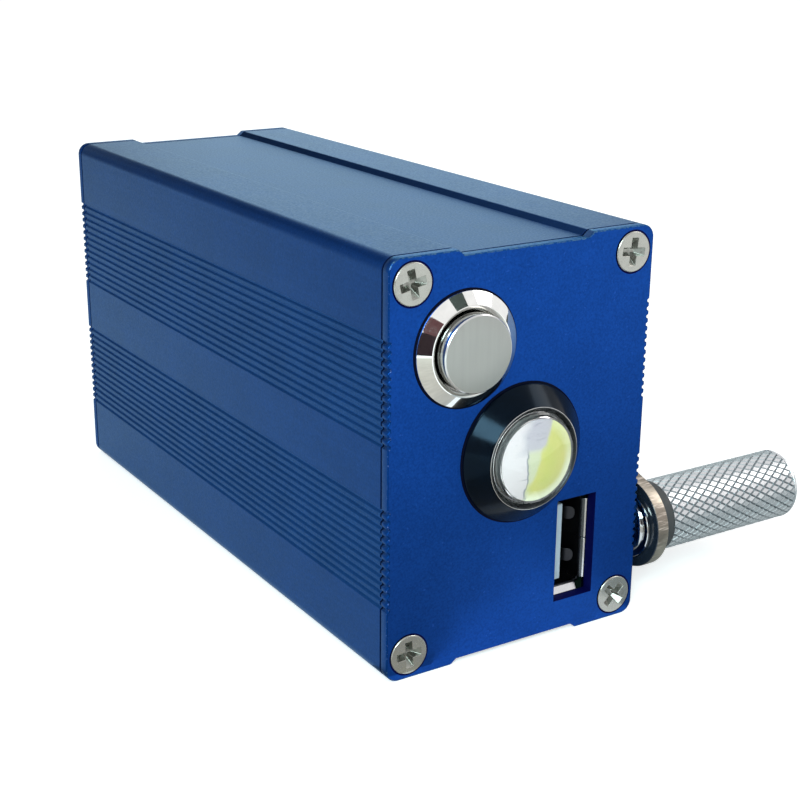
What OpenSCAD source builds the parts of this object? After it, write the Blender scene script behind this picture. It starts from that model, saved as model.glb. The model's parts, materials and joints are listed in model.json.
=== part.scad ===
// Hand crank phone charger in an extruded aluminium case.
// +Z is up, the front panel faces -Y and the crank is on the +X side.
// The origin is on the table, under the middle of the case.

/* [Case] */
// Width of the case, across the front panel
case_w = 41; // [37:0.5:46]
// Height of the case, front panel included
case_h = 56; // [50.5:0.5:62]
// Length of the extruded case, without its end panels
case_len = 97; // [87.5:0.5:116]
// Wall of the extrusion
wall_t = 1.8; // [1.5:0.1:1.9]
// Outer corner radius of the case and of both panels
corner_r = 1.8; // [1:0.1:2.4]
// Depth of the shallow channel along the top and the bottom
recess_depth = 0.7; // [0.3:0.1:0.9]
// Width of that channel at its floor
recess_w = 19.2; // [14:0.2:21]
// Width of each sloping side of that channel
recess_step = 0.9; // [0.5:0.1:1.4]
// Grooves in each group on the sides
groove_count = 13; // [7:1:14]
// Distance from groove to groove
groove_pitch = 1.1; // [0.9:0.05:1.15]
// Width of one groove
groove_w = 0.5; // [0.3:0.05:0.7]
// Depth of one groove
groove_depth = 0.3; // [0.15:0.05:0.45]
// Height of the middle of a groove group above or below mid-height
groove_offset = 11; // [9:0.5:12]

/* [End panels] */
// Thickness of the front and rear panels
panel_t = 1.6; // [1.2:0.1:2]
// Distance of a panel screw from the two edges beside it
screw_inset = 3.4; // [3.3:0.1:3.6]
// Radius of a panel screw's thread
screw_r = 1.5; // [1.3:0.1:1.6]
// Radius of a panel screw's head
screw_head_r = 2.75; // [2.5:0.05:2.9]
// Length of a panel screw under its head
screw_len = 8; // [6:0.5:12]
// Radius of the round ducts that take the panel screws
duct_r = 2.95; // [2.6:0.05:3]

/* [Push button] */
// Distance of the button left of the panel's middle, as a share of the case's width
button_left_share = 0.2245; // [0.215:0.0005:0.235]
// Height of the button, as a share of the case's height
button_height_share = 0.775; // [0.77:0.001:0.785]
// Clear stretch between the button's bezel and the lamp's
bezel_clear = 1.04; // [0.8:0.02:1.6]
// Height of the bezel in front of the panel
bezel_h = 1.4; // [1:0.1:2]
// Width of the bezel's flange outside its threaded barrel
bezel_flange_w = 1.5; // [1.4:0.05:1.8]
// Length of the barrel from the panel's face
barrel_len = 14; // [12:0.5:18]
// Wall of the barrel round the moving cap
barrel_wall = 0.7; // [0.6:0.05:0.9]
// How far the cap stands in front of the panel
cap_proud = 2.9; // [2.2:0.1:3.6]
// How far the cap can be pressed
cap_travel = 1.2; // [0.8:0.1:1.6]

/* [Lamp] */
// Radius of the black bezel at the panel
lamp_base_r = 9.4; // [9:0.1:9.6]
// Radius of the bezel's front rim
lamp_rim_r = 6.95; // [6.6:0.05:7.4]
// Height of the bezel in front of the panel
lamp_h = 2.8; // [2.2:0.1:3.4]
// Radius of the threaded body behind the bezel
lamp_body_r = 7.9; // [7.5:0.1:8]
// Length of the body from the panel's face
lamp_len = 15; // [13:0.5:20]
// Radius of the clear lens
lens_r = 5.7; // [5.3:0.05:6]
// Height of the lens's dome over the rim
lens_dome = 1.5; // [0.8:0.1:2]

/* [Charging socket] */
// Width of the slot in the front panel
slot_w = 6.5; // [6.2:0.1:7]
// Height of the slot in the front panel
slot_h = 14.8; // [14.6:0.1:15.4]
// Height of the socket's middle, as a share of the case's height
socket_height_share = 0.22; // [0.21:0.001:0.225]
// Width of the socket's mouth, inside its shell
mouth_w = 5.12; // [5:0.02:5.3]
// Height of the socket's mouth, inside its shell
mouth_h = 12.5; // [12.2:0.1:12.7]
// Sheet thickness of the socket's shell
shell_t = 0.3; // [0.25:0.05:0.4]
// Length of the socket behind the panel
socket_len = 14; // [12:0.5:16]

/* [Circuit board] */
// Thickness of the board
board_t = 1.2; // [1:0.1:1.3]
// Gap between the board's rear edge and the gearbox plates
board_plate_gap = 1.8; // [0.6:0.1:6]
// Gap between the board and the nearest face of the screw ducts
board_gap = 0.4; // [0.35:0.05:0.5]

/* [Battery] */
// Free room between the cell's cradle and the generator below it
cell_gap = 1.2; // [1:0.1:2]
// Free room between the cell and the gearbox's inner plate
cell_plate_gap = 2; // [1.8:0.1:3]
// Depth of the cell's front end behind the front panel's face
cell_front = 32.5; // [24:0.5:40]
// Least thickness of the foam strip between the cell and the case
foam_t = 2; // [1.7:0.1:2.4]

/* [Gearbox] */
// Depth of the crank's axis, as a share of the whole length
crank_share = 0.599; // [0.58:0.001:0.61]
// Thickness of each gearbox plate
plate_t = 1.5; // [1.3:0.1:1.7]
// Teeth of the crank's gear
teeth_crank = 48; // [46:1:48]
// Teeth of the first pair's large gear
teeth_first = 42; // [40:1:42]
// Teeth of the second pair's large gear
teeth_second = 40; // [38:1:40]
// Teeth of every pinion
teeth_pinion = 14; // [14:1:14]
// Share of the plates' height that the crank's gear fills
crank_gear_share = 0.938; // [0.86:0.002:0.94]
// Tooth size of the middle stage over that of the slow stage
mid_ratio = 0.75; // [0.71:0.01:0.75]
// Tooth size of the fast stage over that of the slow stage
fast_ratio = 0.625; // [0.6:0.005:0.63]
// Face width of the slow stage
face_slow = 3; // [2.8:0.1:3.1]
// Face width of the middle stage
face_mid = 2.8; // [2.6:0.1:2.9]
// Face width of the fast stage
face_fast = 2.4; // [2.2:0.1:2.5]
// Free play between two meshing teeth, along the pitch circle
backlash = 0.1; // [0.06:0.01:0.16]
// Radial clearance of every turning shaft in its bore
running_gap = 0.05; // [0.03:0.01:0.08]
// End play of every turning part
end_play = 0.1; // [0.06:0.02:0.2]
// Radius of the fixed pins that carry the two gear pairs
pin_r = 1.5; // [1.3:0.1:1.7]

/* [Generator] */
// Free room under the generator's can
can_gap = 1.2; // [1:0.1:2]
// Free room between the can's end and the case's left wall
can_end_gap = 5.8; // [5:0.1:7]
// Radius of the rotor magnet over that of the can
magnet_share = 0.45; // [0.4:0.01:0.5]
// Radius of the rotor shaft
rotor_shaft_r = 1; // [0.8:0.1:1.2]

/* [Crank] */
// Length of the crank arm, axis to axis
arm_len = 57.5; // [50:0.5:62]
// Width of the crank arm
arm_w = 13.2; // [12:0.2:15]
// Thickness of the crank arm
arm_t = 2; // [1.6:0.1:3]
// Distance of the arm from the side of the case
arm_gap = 3; // [2.6:0.1:6]
// Angle of the arm at rest, below level, towards the front
arm_dip = 17; // [0:1:22]
// Radius of the crank's shaft
shaft_r = 3; // [2.6:0.1:3.2]
// Radius of the knurled handle
grip_r = 5.2; // [4.8:0.1:6]
// Length of the knurled handle
grip_len = 25; // [20:0.5:45]
// Thickness of the dark spacer between arm and handle
spacer_t = 2.4; // [1:0.1:4]
// Radius of the handle screw's shoulder
shoulder_r = 2.5; // [2.2:0.1:2.8]

/* [Hidden] */
$fn = 64;
eps = 0.01;

// Colours
blue = [0.09, 0.25, 0.58];
steel = [0.72, 0.72, 0.7];
dark = [0.12, 0.13, 0.15];

// The case
half_w = case_w / 2;
inner_x = half_w - wall_t;
inner_top = case_h - wall_t;
total_len = case_len + 2 * panel_t;
front_y = -total_len / 2;
tube_y = front_y + panel_t;
tube_end = tube_y + case_len;
mid_z = case_h / 2;
screw_x = half_w - screw_inset;
screw_low = screw_inset;
screw_high = case_h - screw_inset;
recess_half = recess_w / 2;

// Screw heads sit in countersinks that leave a thin dark rim
rim_gap = 0.2;
hole_gap = 0.15;
panel_sink_r = screw_head_r + rim_gap;
cross_depth = 1.1;
cross_half_w = 0.32;
cross_share = 0.62;
corners = [[-1, -1], [1, -1], [-1, 1], [1, 1]];
screw_turns = [4, 45, 12, -6];

// The push button
button_x = -button_left_share * case_w;
button_z = button_height_share * case_h;
lamp_distance = norm([button_x, button_z - mid_z]);
bezel_r = lamp_distance - lamp_base_r - bezel_clear;
barrel_r = bezel_r - bezel_flange_w;
lip_r = barrel_r - barrel_wall;
lip_gap = 0.35;
cap_r = lip_r - lip_gap;
flange_w = 0.2;
flange_gap = 0.1;
flange_r = lip_r + flange_w;
barrel_bore_r = flange_r + flange_gap;
button_nut_w = 1;
button_nut_t = 2.5;
thread_gap = 0.05;
bezel_edge = 0.25;
bezel_rim_w = 0.7;
lip_depth = 2;
flange_t = 1.2;
pressed_spring = 4.6;
base_y = lip_depth + flange_t + pressed_spring + cap_travel;
cap_edge = 0.3;
spring_in = 1.1;
spring_r = flange_r - spring_in;
spring_wire = 0.6;
terminal_apart = 2.5;
terminal_w = 2;
terminal_t = 0.5;
terminal_len = 4;

// The lamp
lamp_nut_w = 1.1;
lamp_nut_r = lamp_body_r + lamp_nut_w;
lamp_nut_t = 2.5;
nut_slots = 6;
nut_slot_depth = 0.6;
nut_slot_half_w = 1;
lens_seat = 1.2;
cup_depth = 5.2;
cup_rim = 0.5;
cup_gap = 0.1;
emitter_r = 3;
emitter_t = 0.8;
lamp_board_t = 1.2;
lamp_board_y = front_y - lamp_h + lens_seat + cup_depth;

// The board stands between ribs beside the screw ducts
board_x1 = screw_x - duct_r - board_gap;
board_x0 = board_x1 - board_t;
rib_gap = 0.15;
rib_h = 1.05;
rib_t = 1.2;
board_front = 1.4;
board_y0 = tube_y + board_front;
board_z0 = wall_t + rib_gap;
board_z1 = inner_top - rib_gap;
board_h = board_z1 - board_z0;

// The charging socket is soldered to the board's inner face
socket_x = board_x0 - shell_t - mouth_w / 2;
socket_up = socket_height_share * case_h;
lip_out = 0.8;
lip_len = 0.8;
side_lip_h = 10.6;
end_lip_w = 3.6;
tongue_t = 1.85;
tongue_h = 11.2;
tongue_back = 0.9;
tongue_gap = 0.35;
tongue_x = socket_x - mouth_w / 2 + tongue_gap;
socket_block = 4;
contact_x = tongue_x + tongue_t;
contact_pitch = 2.2;
contact_w = 1;
contact_t = 0.2;
contact_back = 2.4;
leg_back = 1;

// Parts on the board, each against its inner face
coil_back = 22;
coil_r = 5;
coil_h = 5;
coil_flange = 1;
capacitor_r = 3.1;
capacitor_h = 8;
capacitor_down = 9;
capacitor_apart = capacitor_r + 1;
// Chips as [back, height on the board as a share, length, height, thickness]
chips = [[4, 0.67, 6, 5, 1.5], [3, 0.44, 5, 4, 1.4], [20, 0.2, 8, 6, 1.6], [20, 0.08, 4, 3, 1.2]];

// Lanes of the gears, from the crank's side inwards
lane_gap = 1;
outer_plate_x = inner_x - plate_t;
function lane_inside(x, face) = [x - lane_gap - face, x - lane_gap];
slow_lane = lane_inside(outer_plate_x, face_slow);
mid_lane = lane_inside(slow_lane[0], face_mid);
fast_lane = lane_inside(mid_lane[0], face_fast);
inner_plate_x1 = fast_lane[0] - 2 * lane_gap;
inner_plate_x0 = inner_plate_x1 - plate_t;

// Gear proportions
pressure_angle = 20;
addendum = 0.9;
dedendum = 1.25;
function pitch_r(teeth, size) = teeth * size / 2;
function tip_r(teeth, size) = pitch_r(teeth, size) + addendum * size;
function root_r(teeth, size) = pitch_r(teeth, size) - dedendum * size;
function centres(a, b, size) = pitch_r(a, size) + pitch_r(b, size);

// The plates fill the height between the screw ducts and end before the rear panel
plate_gap = 0.4;
plate_low = screw_low + duct_r + plate_gap;
plate_high = screw_high - duct_r - plate_gap;
plate_rear = tube_end - plate_gap;

// Axes of the gear train, as [y, z], each a step from the one before
function step_from(p, r, angle) = [p[0] + r * cos(angle), p[1] + r * sin(angle)];
angle_1 = 28;
angle_2 = -80;
angle_3 = -155;
crank_axis = [front_y + crank_share * total_len, mid_z];

// Tooth sizes: pitch diameters over teeth. The slow stage is as large as the plates' height
// and the room between the crank's axis and their rear edge allow.
train_clear = 3;
slow_by_height = crank_gear_share * (plate_high - plate_low) / (teeth_crank + 2 * addendum);
slow_by_length = (plate_rear - crank_axis[0] - train_clear)
    / (centres(teeth_crank, teeth_pinion, 1) * cos(angle_1) + mid_ratio * tip_r(teeth_first, 1));
module_slow = min(slow_by_height, slow_by_length);
module_mid = mid_ratio * module_slow;
module_fast = fast_ratio * module_slow;
first_axis = step_from(crank_axis, centres(teeth_crank, teeth_pinion, module_slow), angle_1);
second_axis = step_from(first_axis, centres(teeth_first, teeth_pinion, module_mid), angle_2);
rotor_axis = step_from(second_axis, centres(teeth_second, teeth_pinion, module_fast), angle_3);
hub_r = 2.6;
join_step = 0.2;

// Gearbox plates and the posts between them
post_r = 2;
post_screw_r = 1.25;
post_screw_len = 6;
side_hole_r = post_screw_r + hole_gap;
side_head_r = 2.3;
side_head_t = 1.1;
side_cross_depth = 0.7;
pan_head_t = 1;
pan_head_r = 2.2;
head_edge = 0.3;
plate_margin = 2.4;
plate_front = crank_axis[0] - tip_r(teeth_crank, module_slow) - plate_margin;
post_clear = 0.7;
post_in = post_r + post_clear;
rear_post_step = 1.6;
rear_post_angle = 25;
first_tip = tip_r(teeth_first, module_mid);
board_y1 = plate_front - board_plate_gap;
posts = [
    [plate_front + post_in, plate_low + post_in],
    [plate_front + post_in, plate_high - post_in],
    [plate_rear - post_in - rear_post_step, plate_low + post_in],
    step_from(first_axis, first_tip + post_r + post_clear, rear_post_angle)
];

// Bushes of the crank's shaft
bush_wall = 2;
bush_flange_w = 2;
bush_flange_t = 1;
bush_r = shaft_r + bush_wall;
bush_flange_r = bush_r + bush_flange_w;
inner_bush_wall = 1.5;
inner_flange_w = 1.5;
inner_flange_t = 0.8;
inner_bush_r = shaft_r + inner_bush_wall;
inner_flange_r = inner_bush_r + inner_flange_w;
crank_hub_wall = 2.5;
crank_hub_r = shaft_r + crank_hub_wall;
web_hole_count = 6;
web_rim = 3;
web_root_r = root_r(teeth_crank, module_slow);
web_hole_ring = (web_root_r + crank_hub_r) / 2;
web_hole_r = (web_root_r - crank_hub_r) / 2 - web_rim;

// The generator hangs on the inner plate
can_wall = 1;
can_front_t = 1.5;
can_r = rotor_axis[1] - wall_t - can_gap;
can_x1 = inner_plate_x0;
can_x0 = -inner_x + can_end_gap;
can_len = can_x1 - can_x0;
can_boss_r = 3.5;
can_boss_bore = rotor_shaft_r + running_gap;
cap_t = 1.2;
cap_boss_r = 4;
cap_boss_t = 1.6;
winding_gap = 0.6;
magnet_r = magnet_share * can_r;
winding_end = 2.35;
magnet_half = (can_len - can_front_t - cap_t) / 2 - winding_end;
magnet_x = can_x0 + can_len / 2;
generator_screw_r = 1;
generator_head_r = 1.9;
generator_face_r = generator_head_r - head_edge;
generator_screw_ring = 0.7 * can_r;
generator_screw_angle = 50;
pinion_over = 0.3;
slot_count = 9;
slot_half_w = 0.6;
yoke_t = 1.6;

// The battery lies on the left above the generator and fills the room under the top wall
cradle_t = 0.8;
cell_rear_gap = 1.1;
cell_room_w = inner_plate_x0 - cell_plate_gap + inner_x - cradle_t;
cell_room_h = inner_top - foam_t - cradle_t - cell_gap - rotor_axis[1] - can_r;
cell_r = min(cell_room_w, cell_room_h) / 2;
cell_x = -inner_x + cradle_t + cell_r;
cell_z = rotor_axis[1] + can_r + cell_gap + cradle_t + cell_r;
cell_y0 = front_y + cell_front;
cell_len = tube_end - cell_rear_gap - cell_y0;
tab_t = 0.3;
tab_r = cell_r / 2;
cradle_in = 4;
cradle_foot = 0.7 * cell_r;
foam_half_w = cell_r / 2;

// The crank, seen from its side; angles turn from +Y to +Z
arm_angle = 180 + arm_dip;
arm_x0 = half_w + arm_gap;
arm_x1 = arm_x0 + arm_t;
knob_axis = step_from(crank_axis, arm_len, arm_angle);
collar_w = 1.5;
collar_r = shaft_r + collar_w;
shaft_step = 0.4;
shaft_end_r = shaft_r - shaft_step;
shaft_flat = 1.6;
arm_screw_r = 1.5;
arm_head_r = 3.2;
arm_head_t = 1.8;
arm_screw_len = 10;
arm_washer_r = 5;
arm_washer_t = 0.8;
handle_washer_r = 5.1;
handle_washer_t = 0.5;
handle_washer_x = arm_x0 - end_play - handle_washer_t;
spacer_x = arm_x1 + end_play;
spacer_step = 0.05;
spacer_r = grip_r - spacer_step;
handle_head_r = 4.15;
handle_head_t = 1;
handle_thread_r = 2;
handle_thread_len = 14;
grip_chamfer = 0.6;

// Helpers
// A flat shape given as (x, z), drawn out from depth y0 towards the rear
module draw_back(y0, length) {
    translate([0, y0 + length, 0])
        rotate([90, 0, 0])
            linear_extrude(length)
                children();
}

// A flat shape given as (y, z), drawn out from x0 towards +X
module draw_right(x0, length) {
    translate([x0, 0, 0])
        rotate([90, 0, 90])
            linear_extrude(length)
                children();
}

// A cone along Y, from radius r0 at y0 to r1 at y1
module cone_y(x, z, y0, y1, r0, r1) {
    translate([x, y0, z])
        rotate([-90, 0, 0])
            cylinder(h = y1 - y0, r1 = r0, r2 = r1);
}

// A cone along X, at the axis given as [y, z]
module cone_x(axis, x0, x1, r0, r1) {
    translate([x0, axis[0], axis[1]])
        rotate([0, 90, 0])
            cylinder(h = x1 - x0, r1 = r0, r2 = r1);
}

// The same, as round bars of one radius
module rod_y(x, z, y0, y1, r) {
    cone_y(x, z, y0, y1, r, r);
}

module rod_x(axis, x0, x1, r) {
    cone_x(axis, x0, x1, r, r);
}

// A box between two opposite corners
module span(low, high) {
    translate(low)
        cube(high - low);
}

// A rectangle with round corners, around the middle of the case
module round_rect(w, h, r) {
    translate([-w / 2 + r, 0])
        square([w - 2 * r, h]);
    translate([-w / 2, r])
        square([w, h - 2 * r]);
    for (x = [-w / 2 + r, w / 2 - r], z = [r, h - r])
        translate([x, z])
            circle(r);
}

// The outline that the extrusion and both panels share
module case_outline() {
    difference() {
        round_rect(case_w, case_h, corner_r);
        for (side = [0, 1])
            translate([0, side * case_h])
                mirror([0, side])
                    polygon([
                        [-recess_half, recess_depth],
                        [recess_half, recess_depth],
                        [recess_half + recess_step, 0],
                        [recess_half + recess_step, -1],
                        [-recess_half - recess_step, -1],
                        [-recess_half - recess_step, 0]
                    ]);
        for (side = [-1, 1], group = [-1, 1], i = [0 : groove_count - 1])
            translate([
                side * half_w,
                mid_z + group * groove_offset + (i - (groove_count - 1) / 2) * groove_pitch
            ])
                polygon([
                    [-side * groove_depth, -groove_w / 4],
                    [-side * groove_depth, groove_w / 4],
                    [side * groove_depth, groove_w],
                    [side * groove_depth, -groove_w]
                ]);
    }
}

module at_panel_screws() {
    for (i = [0 : len(corners) - 1])
        translate([corners[i][0] * screw_x, 0, mid_z + corners[i][1] * (mid_z - screw_inset)])
            rotate([0, screw_turns[i], 0])
                children();
}

// A cross recess, cut from depth 0 inwards along +Y
module cross_cut(r) {
    span([-r, -1, -cross_half_w], [r, cross_depth, cross_half_w]);
    span([-cross_half_w, -1, -r], [cross_half_w, cross_depth, r]);
}

// A countersunk screw along +Y, its head's face at depth 0
module sunk_screw(head_r, r, length) {
    difference() {
        union() {
            cone_y(0, 0, 0, head_r - r, head_r, r);
            rod_y(0, 0, head_r - r - eps, length, r);
        }
        cross_cut(head_r * cross_share);
    }
}

// One gear tooth flank: angle from the tooth's middle at radius r
function involute(angle) = tan(angle) * 180 / PI - angle;
function roll_angle(base, r) = r > base ? acos(base / r) : 0;
function flank_angle(teeth, size, r) =
    90 / teeth - backlash * 90 / PI / pitch_r(teeth, size)
    + involute(pressure_angle)
    - involute(roll_angle(pitch_r(teeth, size) * cos(pressure_angle), r));
function flank_radii(root, base, tip) =
    root < base ? [root, base, (base + tip) / 2, tip] : [root, (root + tip) / 2, tip];

// A spur gear's outline, with the middle of one tooth at angle phase
module gear_outline(teeth, size, phase) {
    radii = flank_radii(
        root_r(teeth, size),
        pitch_r(teeth, size) * cos(pressure_angle),
        tip_r(teeth, size)
    );
    last = len(radii) - 1;
    polygon([
        for (i = [0 : teeth - 1], side = [-1, 1], k = [0 : last])
            let (r = radii[side < 0 ? k : last - k])
                let (a = phase + 360 * i / teeth + side * flank_angle(teeth, size, r))
                    [r * cos(a), r * sin(a)]
    ]);
}

// A gear at an axis, filling one lane [x0, x1], without its bore
module gear_body(axis, lane, teeth, size, phase) {
    draw_right(lane[0], lane[1] - lane[0])
        translate(axis)
            gear_outline(teeth, size, phase);
}

// A pinion's tooth gap faces the gear that drives it, which has a tooth there
function gap_phase(angle, teeth) = angle + 180 + 180 / teeth;

// Case and panels
module case_tube() {
    color(blue)
        difference() {
            draw_back(tube_y, case_len)
                difference() {
                    case_outline();
                    tube_hollow();
                }
            rod_x(crank_axis, inner_x - 1, half_w + 1, bush_r);
            for (p = posts) {
                rod_x(p, inner_x - 1, half_w + 1, side_hole_r);
                cone_x(p, half_w - side_head_t, half_w + eps, side_hole_r, side_head_r + hole_gap);
            }
        }
}

// The inside of the tube: the room, less the screw ducts and the board's ribs
module tube_hollow() {
    difference() {
        translate([0, wall_t])
            round_rect(2 * inner_x, case_h - 2 * wall_t, 1);
        for (x = [-screw_x, screw_x], z = [screw_low, screw_high])
            duct(x, z);
        for (z = [wall_t - eps, inner_top - rib_h + eps]) {
            translate([board_x0 - rib_gap - rib_t, z])
                square([rib_t, rib_h]);
            translate([board_x1 + rib_gap, z])
                square([rib_t, rib_h]);
        }
    }
    for (x = [-screw_x, screw_x], z = [screw_low, screw_high])
        translate([x, z])
            circle(screw_r);
}

// One screw duct, joined to the corner of the tube
module duct(x, z) {
    outward_x = sign(x);
    outward_z = sign(z - mid_z);
    translate([x, z])
        circle(duct_r);
    translate([outward_x > 0 ? x : x - duct_r, outward_z > 0 ? z : z - duct_r])
        square(duct_r);
}

module panel_blank(y0) {
    draw_back(y0, panel_t)
        case_outline();
}

module front_panel() {
    color(blue)
        difference() {
            panel_blank(front_y);
            translate([0, front_y, 0]) {
                at_panel_screws()
                    cone_y(0, 0, -eps, panel_t + eps, panel_sink_r + eps, panel_sink_r - panel_t);
                at_panel_screws()
                    rod_y(0, 0, -eps, panel_t + eps, screw_r + hole_gap);
                rod_y(button_x, button_z, -1, panel_t + 1, barrel_r + thread_gap);
                rod_y(0, mid_z, -1, panel_t + 1, lamp_body_r + thread_gap);
                span(
                    [socket_x - slot_w / 2, -1, socket_up - slot_h / 2],
                    [socket_x + slot_w / 2, panel_t + 1, socket_up + slot_h / 2]
                );
            }
        }
}

module rear_panel() {
    color(blue)
        difference() {
            panel_blank(tube_end);
            translate([0, tube_end, 0]) {
                at_panel_screws()
                    cone_y(0, 0, -eps, panel_t + eps, panel_sink_r - panel_t, panel_sink_r + eps);
                at_panel_screws()
                    rod_y(0, 0, -eps, panel_t + eps, screw_r + hole_gap);
            }
        }
}

module front_screws() {
    color(steel)
        translate([0, front_y + rim_gap, 0])
            at_panel_screws()
                sunk_screw(screw_head_r, screw_r, screw_len);
}

module rear_screws() {
    color(steel)
        translate([0, tube_end + panel_t - rim_gap, 0])
            mirror([0, 1, 0])
                at_panel_screws()
                    sunk_screw(screw_head_r, screw_r, screw_len);
}

// Push button
module button_bezel() {
    color([0.85, 0.85, 0.86])
        translate([0, front_y, 0])
            difference() {
                union() {
                    rod_y(button_x, button_z, -bezel_edge, 0, bezel_r);
                    cone_y(button_x, button_z, -bezel_h, -bezel_edge, lip_r + bezel_rim_w, bezel_r);
                    rod_y(button_x, button_z, -eps, barrel_len, barrel_r);
                }
                rod_y(button_x, button_z, -bezel_h - 1, barrel_len + 1, lip_r);
                rod_y(button_x, button_z, lip_depth, barrel_len + 1, barrel_bore_r);
            }
}

module button_nut() {
    color(steel)
        translate([0, front_y + panel_t, 0])
            difference() {
                translate([button_x, 0, button_z])
                    rotate([-90, 30, 0])
                        cylinder(h = button_nut_t, r = (barrel_r + button_nut_w) / cos(30), $fn = 6);
                rod_y(button_x, button_z, -1, button_nut_t + 1, barrel_r);
            }
}

module button_base() {
    color(dark)
        translate([0, front_y, 0])
            rod_y(button_x, button_z, base_y, barrel_len, barrel_bore_r);
}

module button_terminals() {
    color([0.8, 0.7, 0.4])
        translate([button_x, front_y + barrel_len, button_z])
            for (side = [-1, 1])
                span(
                    [side * terminal_apart - terminal_w / 2, 0, -terminal_t / 2],
                    [side * terminal_apart + terminal_w / 2, terminal_len, terminal_t / 2]
                );
}

module button_spring() {
    color(steel)
        translate([0, front_y, 0])
            difference() {
                rod_y(button_x, button_z, lip_depth + flange_t, base_y, spring_r);
                rod_y(button_x, button_z, lip_depth, base_y + 1, spring_r - spring_wire);
            }
}

module button_cap() {
    color([0.78, 0.78, 0.76])
        translate([0, front_y, 0])
            union() {
                cone_y(button_x, button_z, -cap_proud, cap_edge - cap_proud, cap_r - cap_edge, cap_r);
                rod_y(button_x, button_z, cap_edge - cap_proud, lip_depth + eps, cap_r);
                rod_y(button_x, button_z, lip_depth, lip_depth + flange_t, flange_r);
            }
}

// Lamp
module lamp_bezel() {
    color(dark)
        translate([0, front_y, 0])
            difference() {
                union() {
                    cone_y(0, mid_z, -lamp_h, 0, lamp_rim_r, lamp_base_r);
                    rod_y(0, mid_z, -eps, lamp_len, lamp_body_r);
                }
                rod_y(0, mid_z, -lamp_h - 1, lamp_len + 1, lens_r + thread_gap);
            }
}

module lamp_nut() {
    color(dark)
        translate([0, front_y + panel_t, 0])
            difference() {
                rod_y(0, mid_z, 0, lamp_nut_t, lamp_nut_r);
                rod_y(0, mid_z, -1, lamp_nut_t + 1, lamp_body_r);
                for (i = [1 : nut_slots])
                    translate([0, -1, mid_z])
                        rotate([0, 360 * i / nut_slots, 0])
                            span(
                                [lamp_nut_r - nut_slot_depth, 0, -nut_slot_half_w],
                                [lamp_nut_r + 1, lamp_nut_t + 2, nut_slot_half_w]
                            );
            }
}

module lamp_lens() {
    ball_r = (lens_r * lens_r + lens_dome * lens_dome) / (2 * lens_dome);
    color([0.9, 0.95, 1, 0.4])
        translate([0, front_y - lamp_h, 0])
            intersection() {
                translate([0, ball_r - lens_dome, mid_z])
                    sphere(ball_r, $fn = 96);
                rod_y(0, mid_z, -lens_dome - 1, lens_seat, lens_r);
            }
}

module lamp_reflector() {
    color("white")
        translate([0, front_y - lamp_h + lens_seat, 0])
            difference() {
                rod_y(0, mid_z, 0, cup_depth, lens_r);
                cone_y(0, mid_z, -eps, cup_depth + eps, lens_r - cup_rim, emitter_r + cup_gap);
            }
}

module lamp_emitter() {
    color([0.85, 0.9, 0.3])
        translate([0, lamp_board_y - emitter_t, 0])
            rod_y(0, mid_z, 0, emitter_t, emitter_r);
}

module lamp_board() {
    color([0.8, 0.8, 0.8])
        translate([0, lamp_board_y, 0])
            rod_y(0, mid_z, 0, lamp_board_t, lens_r);
}

module lamp_plug() {
    color(dark)
        translate([0, lamp_board_y + lamp_board_t, 0])
            rod_y(0, mid_z, 0, front_y + lamp_len - lamp_board_y - lamp_board_t, lens_r);
}

// Charging socket
module socket_shell() {
    out_w = mouth_w + 2 * shell_t;
    out_h = mouth_h + 2 * shell_t;
    y0 = tube_y + lip_len;
    y1 = tube_y + socket_len;
    color(steel)
        union() {
            translate([socket_x, 0, socket_up])
                difference() {
                    span([-out_w / 2, y0, -out_h / 2], [out_w / 2, y1, out_h / 2]);
                    span([-mouth_w / 2, y0 - 1, -mouth_h / 2], [mouth_w / 2, y1 + 1, mouth_h / 2]);
                }
            for (side = [-1, 1]) {
                translate([socket_x, y0, socket_up - side_lip_h / 2])
                    mirror([side < 0 ? 1 : 0, 0, 0])
                        linear_extrude(side_lip_h)
                            flared_lip(mouth_w / 2);
                translate([socket_x - end_lip_w / 2, y0, socket_up])
                    mirror([0, 0, side < 0 ? 1 : 0])
                        rotate([0, -90, 180])
                            mirror([0, 1, 0])
                                linear_extrude(end_lip_w)
                                    flared_lip(mouth_h / 2);
            }
        }
}

// The section of one lip of the shell: it leans outwards towards the mouth
module flared_lip(inside) {
    polygon([
        [inside, 0],
        [inside + lip_out, -lip_len],
        [inside + lip_out + shell_t, -lip_len],
        [inside + shell_t, 0],
        [inside + shell_t, shell_t],
        [inside, shell_t]
    ]);
}

module socket_tongue() {
    y1 = tube_y + socket_len;
    block_y = y1 - socket_block;
    color("white")
        difference() {
            union() {
                span(
                    [socket_x - mouth_w / 2, block_y, socket_up - mouth_h / 2],
                    [socket_x + mouth_w / 2, y1, socket_up + mouth_h / 2]
                );
                span(
                    [tongue_x, tube_y + tongue_back, socket_up - tongue_h / 2],
                    [tongue_x + tongue_t, block_y + eps, socket_up + tongue_h / 2]
                );
            }
            for (i = [-1.5 : 1 : 1.5])
                contact_strip(i, block_y - eps, y1 + 1);
        }
}

// One contact, lying on the side of the tongue that faces the board
module contact_strip(i, y0, y1) {
    z = socket_up + i * contact_pitch;
    span([contact_x, y0, z - contact_w / 2], [contact_x + contact_t, y1, z + contact_w / 2]);
}

module socket_contacts() {
    leg_y = tube_y + socket_len + leg_back;
    color([0.85, 0.68, 0.3])
        for (i = [-1.5 : 1 : 1.5]) {
            contact_strip(i, tube_y + contact_back, leg_y);
            z = socket_up + i * contact_pitch;
            span([contact_x, leg_y - contact_t, z - contact_w / 2], [board_x0, leg_y, z + contact_w / 2]);
        }
}

// Circuit board
module main_board() {
    color([0.05, 0.35, 0.2])
        span([board_x0, board_y0, board_z0], [board_x1, board_y1, board_z1]);
}

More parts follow.
